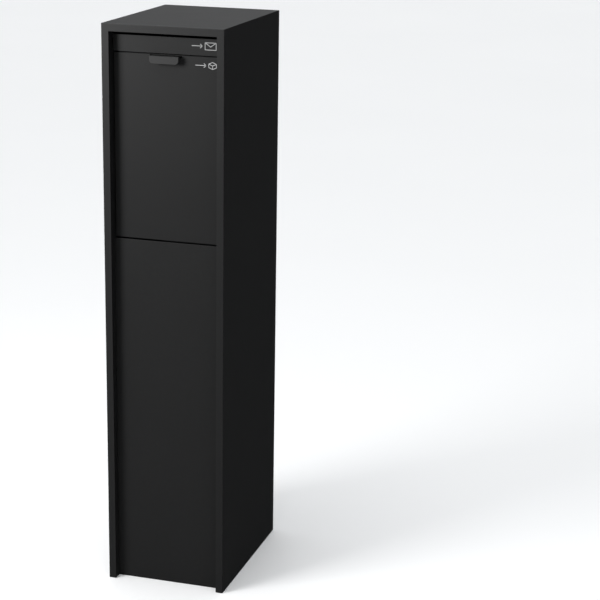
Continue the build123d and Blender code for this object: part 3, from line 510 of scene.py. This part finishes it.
def turned(work, profile, centre, segments):
    """Adds a closed ring, turned about the Y axis from a closed (radius, y) outline."""
    rings = []
    for step in range(segments):
        angle = 2 * math.pi * step / segments
        across, up = math.cos(angle), math.sin(angle)
        rings.append([work.verts.new((centre.x + radius * across, y, centre.z + radius * up))
                      for radius, y in profile])
    count = len(profile)
    for step in range(segments):
        ring, following = rings[step], rings[(step + 1) % segments]
        for index in range(count):
            after = (index + 1) % count
            work.faces.new((ring[index], ring[after], following[after], following[index]))


def islands(node):
    """The lowest and highest corner of each separate solid in a CAD node."""
    work = merged_copy(node)
    seen, found = set(), []
    for start in work.verts:
        if start in seen:
            continue
        group, queue = [], [start]
        seen.add(start)
        while queue:
            vert = queue.pop()
            group.append(vert.co.copy())
            for edge in vert.link_edges:
                other = edge.other_vert(vert)
                if other not in seen:
                    seen.add(other)
                    queue.append(other)
        low = Vector([min(point[axis] for point in group) for axis in range(3)])
        high = Vector([max(point[axis] for point in group) for axis in range(3)])
        found.append((low, high))
    work.free()
    return found


# ---- geometry node trees ----
def geometry_tree(name, inputs, build):
    """A geometry node tree, made once; it ends in smooth faces, real geometry and a material."""
    tree = bpy.data.node_groups.get(name)
    if tree:
        return tree
    tree = bpy.data.node_groups.new(name, "GeometryNodeTree")
    for label, kind in (("Geometry", "Geometry"), *inputs.items(), ("Material", "Material")):
        tree.interface.new_socket(name=label, in_out="INPUT", socket_type="NodeSocket" + kind)
    tree.interface.new_socket(name="Geometry", in_out="OUTPUT", socket_type="NodeSocketGeometry")
    board = Board(tree)
    entry = board.add("NodeGroupInput").outputs
    smooth = board.first("GeometryNodeSetShadeSmooth", {"Geometry": build(board, entry)})
    real = board.first("GeometryNodeRealizeInstances", {"Geometry": smooth})
    painted = board.first("GeometryNodeSetMaterial", {"Geometry": real, "Material": entry["Material"]})
    board.add("NodeGroupOutput", {"Geometry": painted})
    return tree


def filleted(board, curve, steps, radius):
    return board.first("GeometryNodeFilletCurve", {
        "Curve": curve, "Count": steps, "Radius": radius, "Limit Radius": True}, mode="POLY")


def ribbon_tree():
    """A line drawn in the XY plane becomes a flat band with rounded corners."""
    def build(board, entry):
        path = board.first("GeometryNodeMeshToCurve", {"Mesh": entry["Geometry"]})
        rounded = filleted(board, path, BEND_STEPS, entry["Bend"])
        level = board.first("GeometryNodeSetCurveNormal", {"Curve": rounded}, mode="Z_UP")
        band = board.first("GeometryNodeCurvePrimitiveQuadrilateral",
                           {"Width": entry["Width"], "Height": entry["Thickness"]})
        section = filleted(board, band, CORNER_STEPS, entry["Rounding"])
        return board.first("GeometryNodeCurveToMesh", {
            "Curve": level, "Profile Curve": section, "Fill Caps": True})
    return geometry_tree("ribbon", dict.fromkeys(("Width", "Thickness", "Rounding", "Bend"), "Float"), build)


def coil_tree():
    """A torsion spring about the Z axis: coil and two straight legs."""
    def build(board, entry):
        radius = entry["Radius"]
        spiral = board.first("GeometryNodeCurveSpiral", {
            "Resolution": COIL_STEPS, "Rotations": entry["Turns"], "Start Radius": radius,
            "End Radius": radius, "Height": entry["Height"]})
        joined = board.add("GeometryNodeJoinGeometry")
        board.tree.links.new(spiral, joined.inputs[0])
        for share_along, leg in ((0.0, "First Leg"), (1.0, "Last Leg")):
            sample = board.add("GeometryNodeSampleCurve", {"Curves": spiral, "Factor": share_along})
            start = sample.outputs["Position"]
            stop = board.first("ShaderNodeVectorMath", {0: start, 1: entry[leg]}, operation="ADD")
            line = board.first("GeometryNodeCurvePrimitiveLine", {"Start": start, "End": stop})
            board.tree.links.new(line, joined.inputs[0])
        half = board.math("MULTIPLY", entry["Wire"], 0.5)
        section = board.first("GeometryNodeCurvePrimitiveCircle", {"Resolution": WIRE_STEPS, "Radius": half})
        return board.first("GeometryNodeCurveToMesh", {
            "Curve": joined.outputs[0], "Profile Curve": section, "Fill Caps": True})
    inputs = dict.fromkeys(("Radius", "Wire", "Turns", "Height"), "Float")
    return geometry_tree("torsion_spring", {**inputs, "First Leg": "Vector", "Last Leg": "Vector"}, build)


def fastener_tree():
    """A fastener's shape set on every point, turned to the point's own direction."""
    def build(board, entry):
        shape = board.add("GeometryNodeObjectInfo", {"Object": entry["Shape"]}).outputs["Geometry"]
        facing = board.first("GeometryNodeInputNamedAttribute", {"Name": "facing"}, data_type="FLOAT_VECTOR")
        turn = board.first("FunctionNodeAlignRotationToVector", {"Vector": facing}, axis="Z")
        return board.first("GeometryNodeInstanceOnPoints", {
            "Points": entry["Geometry"], "Instance": shape, "Rotation": turn})
    return geometry_tree("fasteners", {"Shape": "Object"}, build)


def run_tree(tree, start, values):
    """Runs a geometry tree on a start mesh and returns the plain mesh it makes."""
    holder = bpy.data.objects.new("work", start)
    bpy.context.scene.collection.objects.link(holder)
    modifier = holder.modifiers.new("made", "NODES")
    modifier.node_group = tree
    for item in tree.interface.items_tree:
        if item.in_out == "INPUT" and item.name in values:
            modifier[item.identifier] = values[item.name]
    return evaluated_mesh(holder)


def line_mesh(lines):
    """A start mesh of open or closed lines: each is (points, closed)."""
    work = bmesh.new()
    for points, closed in lines:
        verts = [work.verts.new(point) for point in points]
        for first, second in zip(verts, verts[1:]):
            work.edges.new((first, second))
        if closed:
            work.edges.new((verts[-1], verts[0]))
    mesh = bpy.data.meshes.new("work")
    work.to_mesh(mesh)
    work.free()
    return mesh


def ribbon_piece(name, body, slot, lines, values, origin, nodes=()):
    """A piece made of a band along lines, stood up from the XY plane so that it faces the front."""
    mesh = run_tree(ribbon_tree(), line_mesh(lines), values)
    mesh.transform(Matrix.Translation(origin) @ Matrix.Rotation(math.radians(90), 4, "X"))
    mesh.set_sharp_from_angle(angle=SHARP_ANGLE)
    as_piece(name, mesh, body, slot, values["Material"], nodes)


def wound(radius, wire, turns, height, legs, material, axes, origin):
    """A torsion spring's mesh; axes say where its own X, Y and Z go, and origin where its coil starts."""
    values = {"Radius": radius, "Wire": wire, "Turns": turns, "Height": height, "First Leg": legs[0],
              "Last Leg": legs[1], "Material": material}
    mesh = run_tree(coil_tree(), bpy.data.meshes.new("work"), values)
    mesh.transform(Matrix.Translation(origin) @ Matrix(axes).transposed().to_4x4())
    work = bmesh.new()
    work.from_mesh(mesh)
    bmesh.ops.recalc_face_normals(work, faces=work.faces)
    work.to_mesh(mesh)
    work.free()
    return mesh


# ---- fasteners ----
def dome_profile(head_radius, shank_radius, head_height, dimple_radius, dimple_depth, tail):
    """Outline of a domed head with a dimple and a shank, as (radius, height) points."""
    floor = head_height - dimple_depth
    floor_radius = dimple_radius * 0.8
    lip = head_height * 0.97
    dome_start = dimple_radius * 1.1
    points = [(0.0, floor), (floor_radius, floor), (dimple_radius, lip)]
    for step in range(1, DOME_STEPS + 1):
        angle = math.radians(90 - 90 * step / DOME_STEPS)
        points.append((dome_start + (head_radius - dome_start) * math.cos(angle),
                       head_height * math.sin(angle)))
    points += [(shank_radius, 0.0), (shank_radius, -tail), (0.0, -tail)]
    return points


def lathed_shape(name, profile, segments=20):
    """A closed solid turned about the Z axis, kept out of the scene as a tree's shape."""
    work = bmesh.new()
    rings = []
    for radius, height in profile:
        if radius == 0.0:
            rings.append([work.verts.new((0, 0, height))])
        else:
            rings.append([work.verts.new((radius * math.cos(2 * math.pi * step / segments),
                                          radius * math.sin(2 * math.pi * step / segments), height))
                          for step in range(segments)])
    for ring, following in zip(rings, rings[1:]):
        for step in range(segments):
            after = (step + 1) % segments
            corners = [ring[step % len(ring)], ring[after % len(ring)],
                       following[after % len(following)], following[step % len(following)]]
            work.faces.new(list(dict.fromkeys(corners)))
    return bpy.data.objects.new(name, to_mesh(work))


def cross_recess(shape, reach, breadth, depth, top):
    """Cuts a cross recess into a lathed screw head."""
    work = bmesh.new()
    for size_x, size_y in ((reach, breadth), (breadth, reach)):
        made = bmesh.ops.create_cube(work, size=1.0)
        for vert in made["verts"]:
            taper = RECESS_TAPER if vert.co.z < 0 else 1.0
            vert.co = Vector((vert.co.x * size_x * taper, vert.co.y * size_y * taper,
                              top + vert.co.z * 2 * depth))
    cutter = bpy.data.objects.new("work_cutter", to_mesh(work, smooth=False))
    for made in (shape, cutter):
        bpy.context.scene.collection.objects.link(made)
    cut = shape.modifiers.new("cut", "BOOLEAN")
    cut.object = cutter
    cut.solver = "EXACT"
    cut.use_self = True
    name = shape.name
    made = evaluated_mesh(shape)
    bpy.data.objects.remove(cutter)
    made.shade_smooth()
    made.set_sharp_from_angle(angle=SHARP_ANGLE)
    return bpy.data.objects.new(name, made)


def rivet_shape():
    profile = dome_profile(head_radius=3.0 * MM, shank_radius=1.6 * MM, head_height=RIVET_HEAD,
                           dimple_radius=1.05 * MM, dimple_depth=0.7 * MM, tail=1.4 * MM)
    return lathed_shape("work_rivet", profile)


def screw_shape():
    profile = dome_profile(head_radius=3.4 * MM, shank_radius=2.0 * MM, head_height=SCREW_HEAD,
                           dimple_radius=0.9 * MM, dimple_depth=0.1 * MM, tail=8.8 * MM)
    return cross_recess(lathed_shape("work_screw", profile), reach=3.6 * MM, breadth=0.8 * MM,
                        depth=0.9 * MM, top=SCREW_HEAD)


def inward(centre):
    return Vector((-1 if centre.x > 0 else 1, 0, 0))


def frontward(centre):
    return Vector((0, -1, 0))


def upward(centre):
    return Vector((0, 0, 1))


def head_places(node, facing_of, head):
    """Where each fastener's head sits on its sheet, and where the head faces."""
    places = []
    for low, high in islands(node):
        centre = (low + high) / 2
        facing = facing_of(centre)
        face = Vector([(high if part > 0 else low)[axis] if abs(part) > 0.5 else centre[axis]
                       for axis, part in enumerate(facing)])
        places.append((face - facing * head, facing))
    return places


def fasteners(node, shape, places):
    """One piece with a fastener at each (point, facing) place."""
    mesh = bpy.data.meshes.new("work")
    mesh.from_pydata([point for point, facing in places], [], [])
    store = mesh.attributes.new("facing", "FLOAT_VECTOR", "POINT")
    for index, (point, facing) in enumerate(places):
        store.data[index].vector = facing
    made = run_tree(fastener_tree(), mesh, {"Shape": shape, "Material": zinc_plate()})
    made.set_sharp_from_angle(angle=SHARP_ANGLE)
    as_piece(node + "_finished", made, BODY_OF[node], SLOT_OF[node], zinc_plate(), [node])


# ---- operators: sheet metal ----
CASING_OUTSIDE = ("left_side_panel", "right_side_panel", "top_panel")
PANELS = ("lower_front_panel", "rear_plinth")
CASING_INSIDE = ("compartment_floor", "rear_lintel", "rear_sill", "lock_jamb", "hinge_jamb",
                 "letter_tray", "left_stop_bracket", "right_stop_bracket")
CASING_FITTINGS = ("base_plate", "plinth_bracket", "strike_plate")
HOPPER_INSIDE = ("hopper_inner_panel", "hopper_cap", "hopper_ledge", "left_cheek", "right_cheek",
                 "baffle_plate")
UNDOABLE = {"REGISTER", "UNDO"}


class DROPBOX_OT_casing(bpy.types.Operator):
    """Rounds the casing's folded sheets and coats them"""

    bl_idname = "dropbox.casing"
    bl_label = "Casing"
    bl_options = UNDOABLE

    def execute(self, context):
        edge = sizes().sheet_edge
        for nodes, width, coat in ((CASING_OUTSIDE, edge, casing_coat), (PANELS, edge, panel_coat),
                                   (CASING_INSIDE, edge * DOOR_EDGE, inner_coat),
                                   (CASING_FITTINGS, sizes().fine_edge, None)):
            for node in nodes:
                softened(node, width, coat)
        return {"FINISHED"}


class DROPBOX_OT_letter_flap(bpy.types.Operator):
    """Rounds the push-in letter flap and its rod"""

    bl_idname = "dropbox.letter_flap"
    bl_label = "Letter flap"
    bl_options = UNDOABLE

    def execute(self, context):
        softened("letter_flap", sizes().sheet_edge * DOOR_EDGE)
        softened("flap_rod", sizes().fine_edge)
        return {"FINISHED"}


class DROPBOX_OT_hopper(bpy.types.Operator):
    """Rounds the tilting hopper's sheets, finger pull and pivots, and finishes its clips"""

    bl_idname = "dropbox.hopper"
    bl_label = "Hopper"
    bl_options = UNDOABLE

    def execute(self, context):
        edge = sizes().sheet_edge
        softened("parcel_door", edge * DOOR_EDGE)
        softened("finger_pull", edge, segments=3)
        for node in HOPPER_INSIDE:
            softened(node, edge * HOPPER_EDGE, inner_coat)
        for side in ("left", "right"):
            for piece in ("_pivot_bush", "_pivot_pin", "_spring_peg"):
                softened(side + piece, sizes().fine_edge)
            softened(side + "_pivot_bracket", sizes().fine_edge, inner_coat)
        dressed("pivot_clips")
        return {"FINISHED"}


class DROPBOX_OT_rear_door(bpy.types.Operator):
    """Rounds the rear door's pan, stiffener and pivots"""

    bl_idname = "dropbox.rear_door"
    bl_label = "Rear door"
    bl_options = UNDOABLE

    def execute(self, context):
        edge = sizes().sheet_edge
        softened("rear_door_pan", edge)
        softened("door_stiffener", edge * HOPPER_EDGE, inner_coat)
        for end in ("upper", "lower"):
            for piece in ("_hinge_pin", "_hinge_bush"):
                softened(end + piece, sizes().fine_edge)
        return {"FINISHED"}


# ---- operators: lock ----
HEAD_FOOT = 0.95
BEZEL_SHOULDER = 0.5 * MM
BEZEL_WIDTH = 3.4 * MM
# The dish inside the bezel, in millimetres: how far in from the head's edge or out from the bore, and
# how far below the top.
DISH_FROM_EDGE = ((4.0, 0.1), (4.5, 0.55))
DISH_FROM_BORE = ((1.7, 0.75), (1.1, 0.4), (0.5, 0.35), (0.0, 0.6))
BARREL_RADIUS = 9.5 * MM
BARREL_FLAT = 8.0 * MM
BARREL_TIP = 0.5 * MM
BARREL_SINK = 0.2 * MM
PLUG_CLEARANCE = 0.05 * MM
BARREL_CLEARANCE = 0.1 * MM


def lock_head_outline(low, high, bore, radius):
    """Closed outline of the lock's head: domed bezel, shallow dish and bore."""
    outline = [(bore, low), (radius * HEAD_FOOT, low), (radius, low + BEZEL_SHOULDER)]
    rise = high - low - BEZEL_SHOULDER
    for step in range(1, BEZEL_STEPS + 1):
        angle = math.radians(90 * step / BEZEL_STEPS)
        outline.append((radius - BEZEL_WIDTH * (1 - math.cos(angle)),
                        low + BEZEL_SHOULDER + rise * math.sin(angle)))
    outline += [(radius - inset * MM, high - drop * MM) for inset, drop in DISH_FROM_EDGE]
    outline += [(bore + offset * MM, high - drop * MM) for offset, drop in DISH_FROM_BORE]
    return outline


def add_threaded_barrel(work, centre, low, high, bore):
    """Adds the lock's barrel: a screw thread outside, flats at both sides, a bore inside."""
    pitch, depth = sizes().thread_pitch, sizes().thread_depth
    along = int(round((high - low) / pitch * THREAD_ROWS))
    inner, outer = [], []
    for row in range(along + 1):
        y = low + (high - low) * row / along
        fade = min(1.0, row / THREAD_RUN_OUT)
        inner_row, outer_row = [], []
        for step in range(BARREL_STEPS):
            turn = step / BARREL_STEPS
            angle = 2 * math.pi * turn
            phase = ((y - low) / pitch - turn) % 1.0
            cut = depth * (1 - abs(2 * phase - 1))
            reach = BARREL_RADIUS - cut * fade - BARREL_TIP * (1 - fade)
            x = max(-BARREL_FLAT, min(BARREL_FLAT, reach * math.cos(angle)))
            outer_row.append(work.verts.new((centre.x + x, y, centre.z + reach * math.sin(angle))))
            inner_row.append(work.verts.new((centre.x + bore * math.cos(angle), y,
                                             centre.z + bore * math.sin(angle))))
        inner.append(inner_row)
        outer.append(outer_row)
    for step in range(BARREL_STEPS):
        after = (step + 1) % BARREL_STEPS
        for row in range(along):
            work.faces.new((outer[row][step], outer[row][after], outer[row + 1][after], outer[row + 1][step]))
            work.faces.new((inner[row][step], inner[row + 1][step], inner[row + 1][after], inner[row][after]))
        for row in (0, along):
            work.faces.new((outer[row][step], inner[row][step], inner[row][after], outer[row][after]))


class DROPBOX_OT_lock(bpy.types.Operator):
    """Builds the cam lock: bezel, threaded barrel, nut, plug, cam and screw"""

    bl_idname = "dropbox.lock"
    bl_label = "Cam lock"
    bl_options = UNDOABLE

    def execute(self, context):
        low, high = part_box("lock_housing")
        plug_low, plug_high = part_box("lock_plug")
        door_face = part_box("rear_door_pan")[1].y
        radius = (high.x - low.x) / 2
        bore = (plug_high.x - plug_low.x) / 2 + PLUG_CLEARANCE
        centre = (low + high) / 2
        work = bmesh.new()
        turned(work, lock_head_outline(door_face, high.y, bore, radius), centre, HEAD_STEPS)
        add_threaded_barrel(work, centre, low.y, door_face - BARREL_SINK, bore + BARREL_CLEARANCE)
        as_piece("lock_housing_finished", to_mesh(work), BODY_OF["lock_housing"], "chrome_plate",
                 chrome_plate(), ["lock_housing"])
        softened("lock_plug", sizes().fine_edge)
        softened("lock_nut", sizes().fine_edge * NUT_EDGE)
        softened("lock_cam", sizes().fine_edge)
        softened("cam_screw", sizes().fine_edge)
        return {"FINISHED"}


# ---- operators: springs, fasteners, seals and signs ----
CLOSING_SPRING_TURNS = 3.5
FLAP_SPRING_RADIUS = 3.7 * MM
FLAP_SPRING_WIRE = 0.9 * MM
FLAP_SPRING_TURNS = 5.0
FLAP_SPRING_LEG = 2.2 * MM
SEAL_WIDTH = 8.0 * MM
SEAL_BEND = 2.0 * MM


class DROPBOX_OT_springs(bpy.types.Operator):
    """Winds the hopper's closing springs and the flap's spring"""

    bl_idname = "dropbox.springs"
    bl_label = "Springs"
    bl_options = UNDOABLE

    def execute(self, context):
        wire = sizes().spring_wire
        pivot = PIVOT["hopper_tilt"]
        for side, sign in (("left", -1), ("right", 1)):
            node = side + "_hopper_spring"
            low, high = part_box(node)
            inner = min(abs(low.x), abs(high.x)) + wire / 2
            outer = max(abs(low.x), abs(high.x)) - wire / 2
            # The coil's own X axis goes to the front and its Y axis down, so the legs run front to rear.
            mesh = wound((high.y - low.y - wire) / 2, wire, CLOSING_SPRING_TURNS, outer - inner,
                         legs=((high.z - pivot.z, 0.0, 0.0), (low.z - pivot.z, 0.0, 0.0)),
                         material=spring_steel(), axes=((0, -1, 0), (0, 0, -1), (sign, 0, 0)),
                         origin=Vector((sign * inner, pivot.y, pivot.z)))
            piece = as_piece(node + "_finished", mesh, None, SLOT_OF[node], spring_steel(), [node])
            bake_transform(piece)
        low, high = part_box("flap_spring")
        axis = PIVOT["letter_flap_swing"]
        mesh = wound(FLAP_SPRING_RADIUS, FLAP_SPRING_WIRE, FLAP_SPRING_TURNS,
                     high.x - low.x - FLAP_SPRING_WIRE,
                     legs=((0.0, -FLAP_SPRING_LEG, 0.0), (0.0, FLAP_SPRING_LEG, 0.0)),
                     material=zinc_plate(), axes=((0, 0, -1), (0, 1, 0), (1, 0, 0)),
                     origin=Vector((low.x + FLAP_SPRING_WIRE / 2, axis.y, axis.z)))
        as_piece("flap_spring_finished", mesh, "cabinet", SLOT_OF["flap_spring"], zinc_plate(),
                 ["flap_spring"])
        return {"FINISHED"}


class DROPBOX_OT_fasteners(bpy.types.Operator):
    """Sets the rivets and the plinth's cross-head screws"""

    bl_idname = "dropbox.fasteners"
    bl_label = "Rivets and screws"
    bl_options = UNDOABLE

    def execute(self, context):
        rivet = rivet_shape()
        for node, facing_of in (("bracket_rivets", inward), ("hopper_rivets", inward),
                                ("strike_rivets", frontward)):
            fasteners(node, rivet, head_places(node, facing_of, RIVET_HEAD))
        fasteners("plinth_screws", screw_shape(), head_places("plinth_screws", upward, SCREW_HEAD))
        return {"FINISHED"}


class DROPBOX_OT_seals(bpy.types.Operator):
    """Lays the rear door's foam seal and finishes the rubber buffers"""

    bl_idname = "dropbox.seals"
    bl_label = "Seals and buffers"
    bl_options = UNDOABLE

    def execute(self, context):
        low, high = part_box("door_gasket")
        half = SEAL_WIDTH / 2
        corners = [(low.x + half, low.z + half, 0), (high.x - half, low.z + half, 0),
                   (high.x - half, high.z - half, 0), (low.x + half, high.z - half, 0)]
        values = {"Width": SEAL_WIDTH, "Thickness": high.y - low.y, "Rounding": sizes().seal_round,
                  "Bend": SEAL_BEND, "Material": foam()}
        ribbon_piece("door_gasket_finished", "rear_door", SLOT_OF["door_gasket"], [(corners, True)], values,
                     Vector((0, (low.y + high.y) / 2, 0)), ["door_gasket"])
        softened("parcel_door_bumpers", sizes().fine_edge)
        softened("stop_buffers", sizes().sheet_edge, segments=3)
        return {"FINISHED"}


def envelope_lines(width, height):
    """A closed envelope with its flap, drawn from its lower left corner."""
    tip = height * 0.42
    return [([(0, 0, 0), (width, 0, 0), (width, height, 0), (0, height, 0)], True),
            ([(0, height, 0), (width / 2, tip, 0), (width, height, 0)], False)]


def carton_lines(width, height):
    """A carton seen from above one corner."""
    half, lift = width / 2, height * 0.25
    outline = [(half, 0, 0), (width, lift, 0), (width, height - lift, 0), (half, height, 0),
               (0, height - lift, 0), (0, lift, 0)]
    top = [(0, height - lift, 0), (half, height - 2 * lift, 0), (width, height - lift, 0)]
    return [(outline, True), (top, False), ([(half, 0, 0), (half, height - 2 * lift, 0)], False)]


def arrow_lines(width, height):
    """A plain arrow that points to the drawing at its right."""
    middle, head = height / 2, height * 0.3
    return [([(0, middle, 0), (width, middle, 0)], False),
            ([(width - head, middle + head, 0), (width, middle, 0), (width - head, middle - head, 0)], False)]


def shifted(lines, x):
    return [([(point[0] + x, point[1], point[2]) for point in points], closed) for points, closed in lines]


SIGN_GAP = 6.0 * MM
ARROW_LENGTH = 22.0 * MM
SIGN_INSET = 6.5 * MM
SIGN_BEND = 0.4 * MM
# Share of the print's thickness between the sheet's face and the print's middle.
PRINT_PROUD = 0.45
# Each sign: the node it is on, its drawing, the drawing's width and its drop below the sheet's top edge.
SIGNS = (("letter_flap", envelope_lines, 23.0 * MM, 7.5 * MM),
         ("parcel_door", carton_lines, 16.0 * MM, 9.5 * MM))


class DROPBOX_OT_signs(bpy.types.Operator):
    """Prints the plain letter and carton signs beside the flap and the finger pull"""

    bl_idname = "dropbox.signs"
    bl_label = "Printed signs"
    bl_options = UNDOABLE

    def execute(self, context):
        tall = sizes().sign_height
        thick = sizes().print_thickness
        values = {"Width": sizes().sign_stroke, "Thickness": thick, "Rounding": 0.0, "Bend": SIGN_BEND,
                  "Material": ink()}
        for node, drawing, wide, drop in SIGNS:
            low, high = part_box(node)
            lines = arrow_lines(ARROW_LENGTH, tall) + shifted(drawing(wide, tall), ARROW_LENGTH + SIGN_GAP)
            left = high.x - SIGN_INSET - wide - ARROW_LENGTH - SIGN_GAP
            ribbon_piece(node + "_sign", BODY_OF[node], "powder_coat", lines, values,
                         Vector((left, low.y - thick * PRINT_PROUD, high.z - drop - tall)))
        return {"FINISHED"}


# ---- operators: stage ----
FLOOR_HALF = 60.0
FLOOR_DROP = 0.6 * MM
FLOOR_CLOUDS = 0.8
FLOOR_LEVELS = (0.985, 1.015)
SKY_TINT = (0.94, 0.97, 1.0)
BACKDROP_STRENGTH = 0.95
CAMERA_PLACE = (1.246, -3.414, 1.628)
CAMERA_LENS = 104.8
CAMERA_REACH = 200.0
# Turn from straight ahead, negative to the left, then tilt down and roll, in degrees.
CAMERA_TURN = (-16.43, 15.9, 0.92)


def put_up(name, data):
    """Links a new object for a lamp, a camera or a mesh."""
    made = bpy.data.objects.new(name, data)
    bpy.context.scene.collection.objects.link(made)
    return made


def sun_light(name, comes_from, power, softness):
    """A wide soft light from one direction; softness is its width in degrees."""
    lamp = bpy.data.lights.new(name, "SUN")
    lamp.energy = power
    lamp.angle = math.radians(softness)
    put_up(name, lamp).rotation_euler = Vector(comes_from).to_track_quat("Z", "Y").to_euler()


def soft_box(name, stands_at, faces, across, power):
    """A square lamp at one place that faces another."""
    lamp = bpy.data.lights.new(name, "AREA")
    lamp.size = across
    lamp.energy = power
    made = put_up(name, lamp)
    made.location = stands_at
    made.rotation_euler = (Vector(stands_at) - Vector(faces)).to_track_quat("Z", "Y").to_euler()


def floor_paint(board, shader):
    level = board.spread(board.noise(FLOOR_CLOUDS, detail=2.0), 0.0, 1.0, *FLOOR_LEVELS)
    board.tree.links.new(board.tinted(rgba(colours().floor), level), shader.inputs["Base Color"])
    shader.inputs["Roughness"].default_value = 0.9
    shader.inputs["Specular IOR Level"].default_value = 0.1


def lay_floor():
    work = bmesh.new()
    bmesh.ops.create_grid(work, x_segments=2, y_segments=2, size=FLOOR_HALF)
    mesh = bpy.data.meshes.new("studio_floor")
    work.to_mesh(mesh)
    work.free()
    mesh.materials.append(finish("studio_floor", floor_paint))
    floor = put_up("studio_floor", mesh)
    floor.location.z = -FLOOR_DROP
    floor.visible_glossy = False


def light_world():
    """A dim sky, brighter overhead, that looks evenly pale where the camera sees it."""
    world = bpy.data.worlds.new("studio")
    world.use_nodes = True
    world.node_tree.nodes.clear()
    board = Board(world.node_tree)
    looking = board.add("ShaderNodeTexCoord").outputs["Generated"]
    up = board.add("ShaderNodeSeparateXYZ", {0: looking}).outputs["Z"]
    strength = board.spread(up, low=0.2, high=0.75, to_low=0.04, to_high=0.6)
    seen = board.math("MULTIPLY", board.add("ShaderNodeLightPath").outputs["Is Camera Ray"],
                      BACKDROP_STRENGTH)
    light = board.first("ShaderNodeBackground", {
        "Color": rgba(SKY_TINT), "Strength": board.math("MAXIMUM", strength, seen)})
    board.add("ShaderNodeOutputWorld", {"Surface": light})
    bpy.context.scene.world = world


def stand_camera():
    lens = bpy.data.cameras.new("camera")
    lens.lens = CAMERA_LENS
    lens.clip_end = CAMERA_REACH
    eye = put_up("camera", lens)
    yaw, pitch, roll = (math.radians(value) for value in CAMERA_TURN)
    level = Vector((math.sin(yaw), math.cos(yaw), 0))
    forward = level * math.cos(pitch) - Vector((0, 0, 1)) * math.sin(pitch)
    up = Vector((0, 0, 1)) * math.cos(pitch) + level * math.sin(pitch)
    right = forward.cross(up)
    turned_right = right * math.cos(roll) + up * math.sin(roll)
    turned_up = up * math.cos(roll) - right * math.sin(roll)
    frame_axes = Matrix((turned_right, turned_up, -forward)).transposed()
    eye.matrix_world = Matrix.Translation(CAMERA_PLACE) @ frame_axes.to_4x4()
    bpy.context.scene.camera = eye


class DROPBOX_OT_stage(bpy.types.Operator):
    """Sets the floor, the lights and the camera"""

    bl_idname = "dropbox.stage"
    bl_label = "Stage"
    bl_options = UNDOABLE

    def execute(self, context):
        context.scene.view_settings.view_transform = "Standard"
        lay_floor()
        light_world()
        soft_box("front_light", stands_at=(-1.33, -1.67, 1.56), faces=(0.0, -0.18, 0.65), across=0.9,
                 power=39.0)
        sun_light("overhead_light", comes_from=(0.0, -0.2, 1.0), power=1.2, softness=50)
        sun_light("rear_light", comes_from=(-0.1, 0.62, 0.72), power=0.5, softness=40)
        stand_camera()
        return {"FINISHED"}


# ---- panel and registration ----
PIECE_OPERATORS = (DROPBOX_OT_casing, DROPBOX_OT_letter_flap, DROPBOX_OT_hopper, DROPBOX_OT_rear_door,
                   DROPBOX_OT_lock, DROPBOX_OT_springs, DROPBOX_OT_fasteners, DROPBOX_OT_seals,
                   DROPBOX_OT_signs, DROPBOX_OT_stage)


class DROPBOX_PT_sidebar(bpy.types.Panel):
    """Lists the drop box's settings and the operators that make its pieces"""

    bl_idname = "DROPBOX_PT_sidebar"
    bl_label = "Parcel Drop Box"
    bl_space_type = "VIEW_3D"
    bl_region_type = "UI"
    bl_category = "Drop Box"

    def draw(self, context):
        for group in (context.scene.drop_box_sizes, context.scene.drop_box_colours):
            column = self.layout.column()
            for name in group.__annotations__:
                column.prop(group, name)
        for operator in PIECE_OPERATORS:
            self.layout.operator(operator.bl_idname)


CLASSES = (DropBoxSizes, DropBoxColours, *PIECE_OPERATORS, DROPBOX_PT_sidebar)


def register():
    for item in CLASSES:
        bpy.utils.register_class(item)
    bpy.types.Scene.drop_box_sizes = bpy.props.PointerProperty(type=DropBoxSizes)
    bpy.types.Scene.drop_box_colours = bpy.props.PointerProperty(type=DropBoxColours)


def unregister():
    del bpy.types.Scene.drop_box_colours
    del bpy.types.Scene.drop_box_sizes
    for item in reversed(CLASSES):
        bpy.utils.unregister_class(item)


def main():
    register()
    for operator in PIECE_OPERATORS:
        module, name = operator.bl_idname.split(".")
        getattr(getattr(bpy.ops, module), name)()


if __name__ == "__main__":
    main()
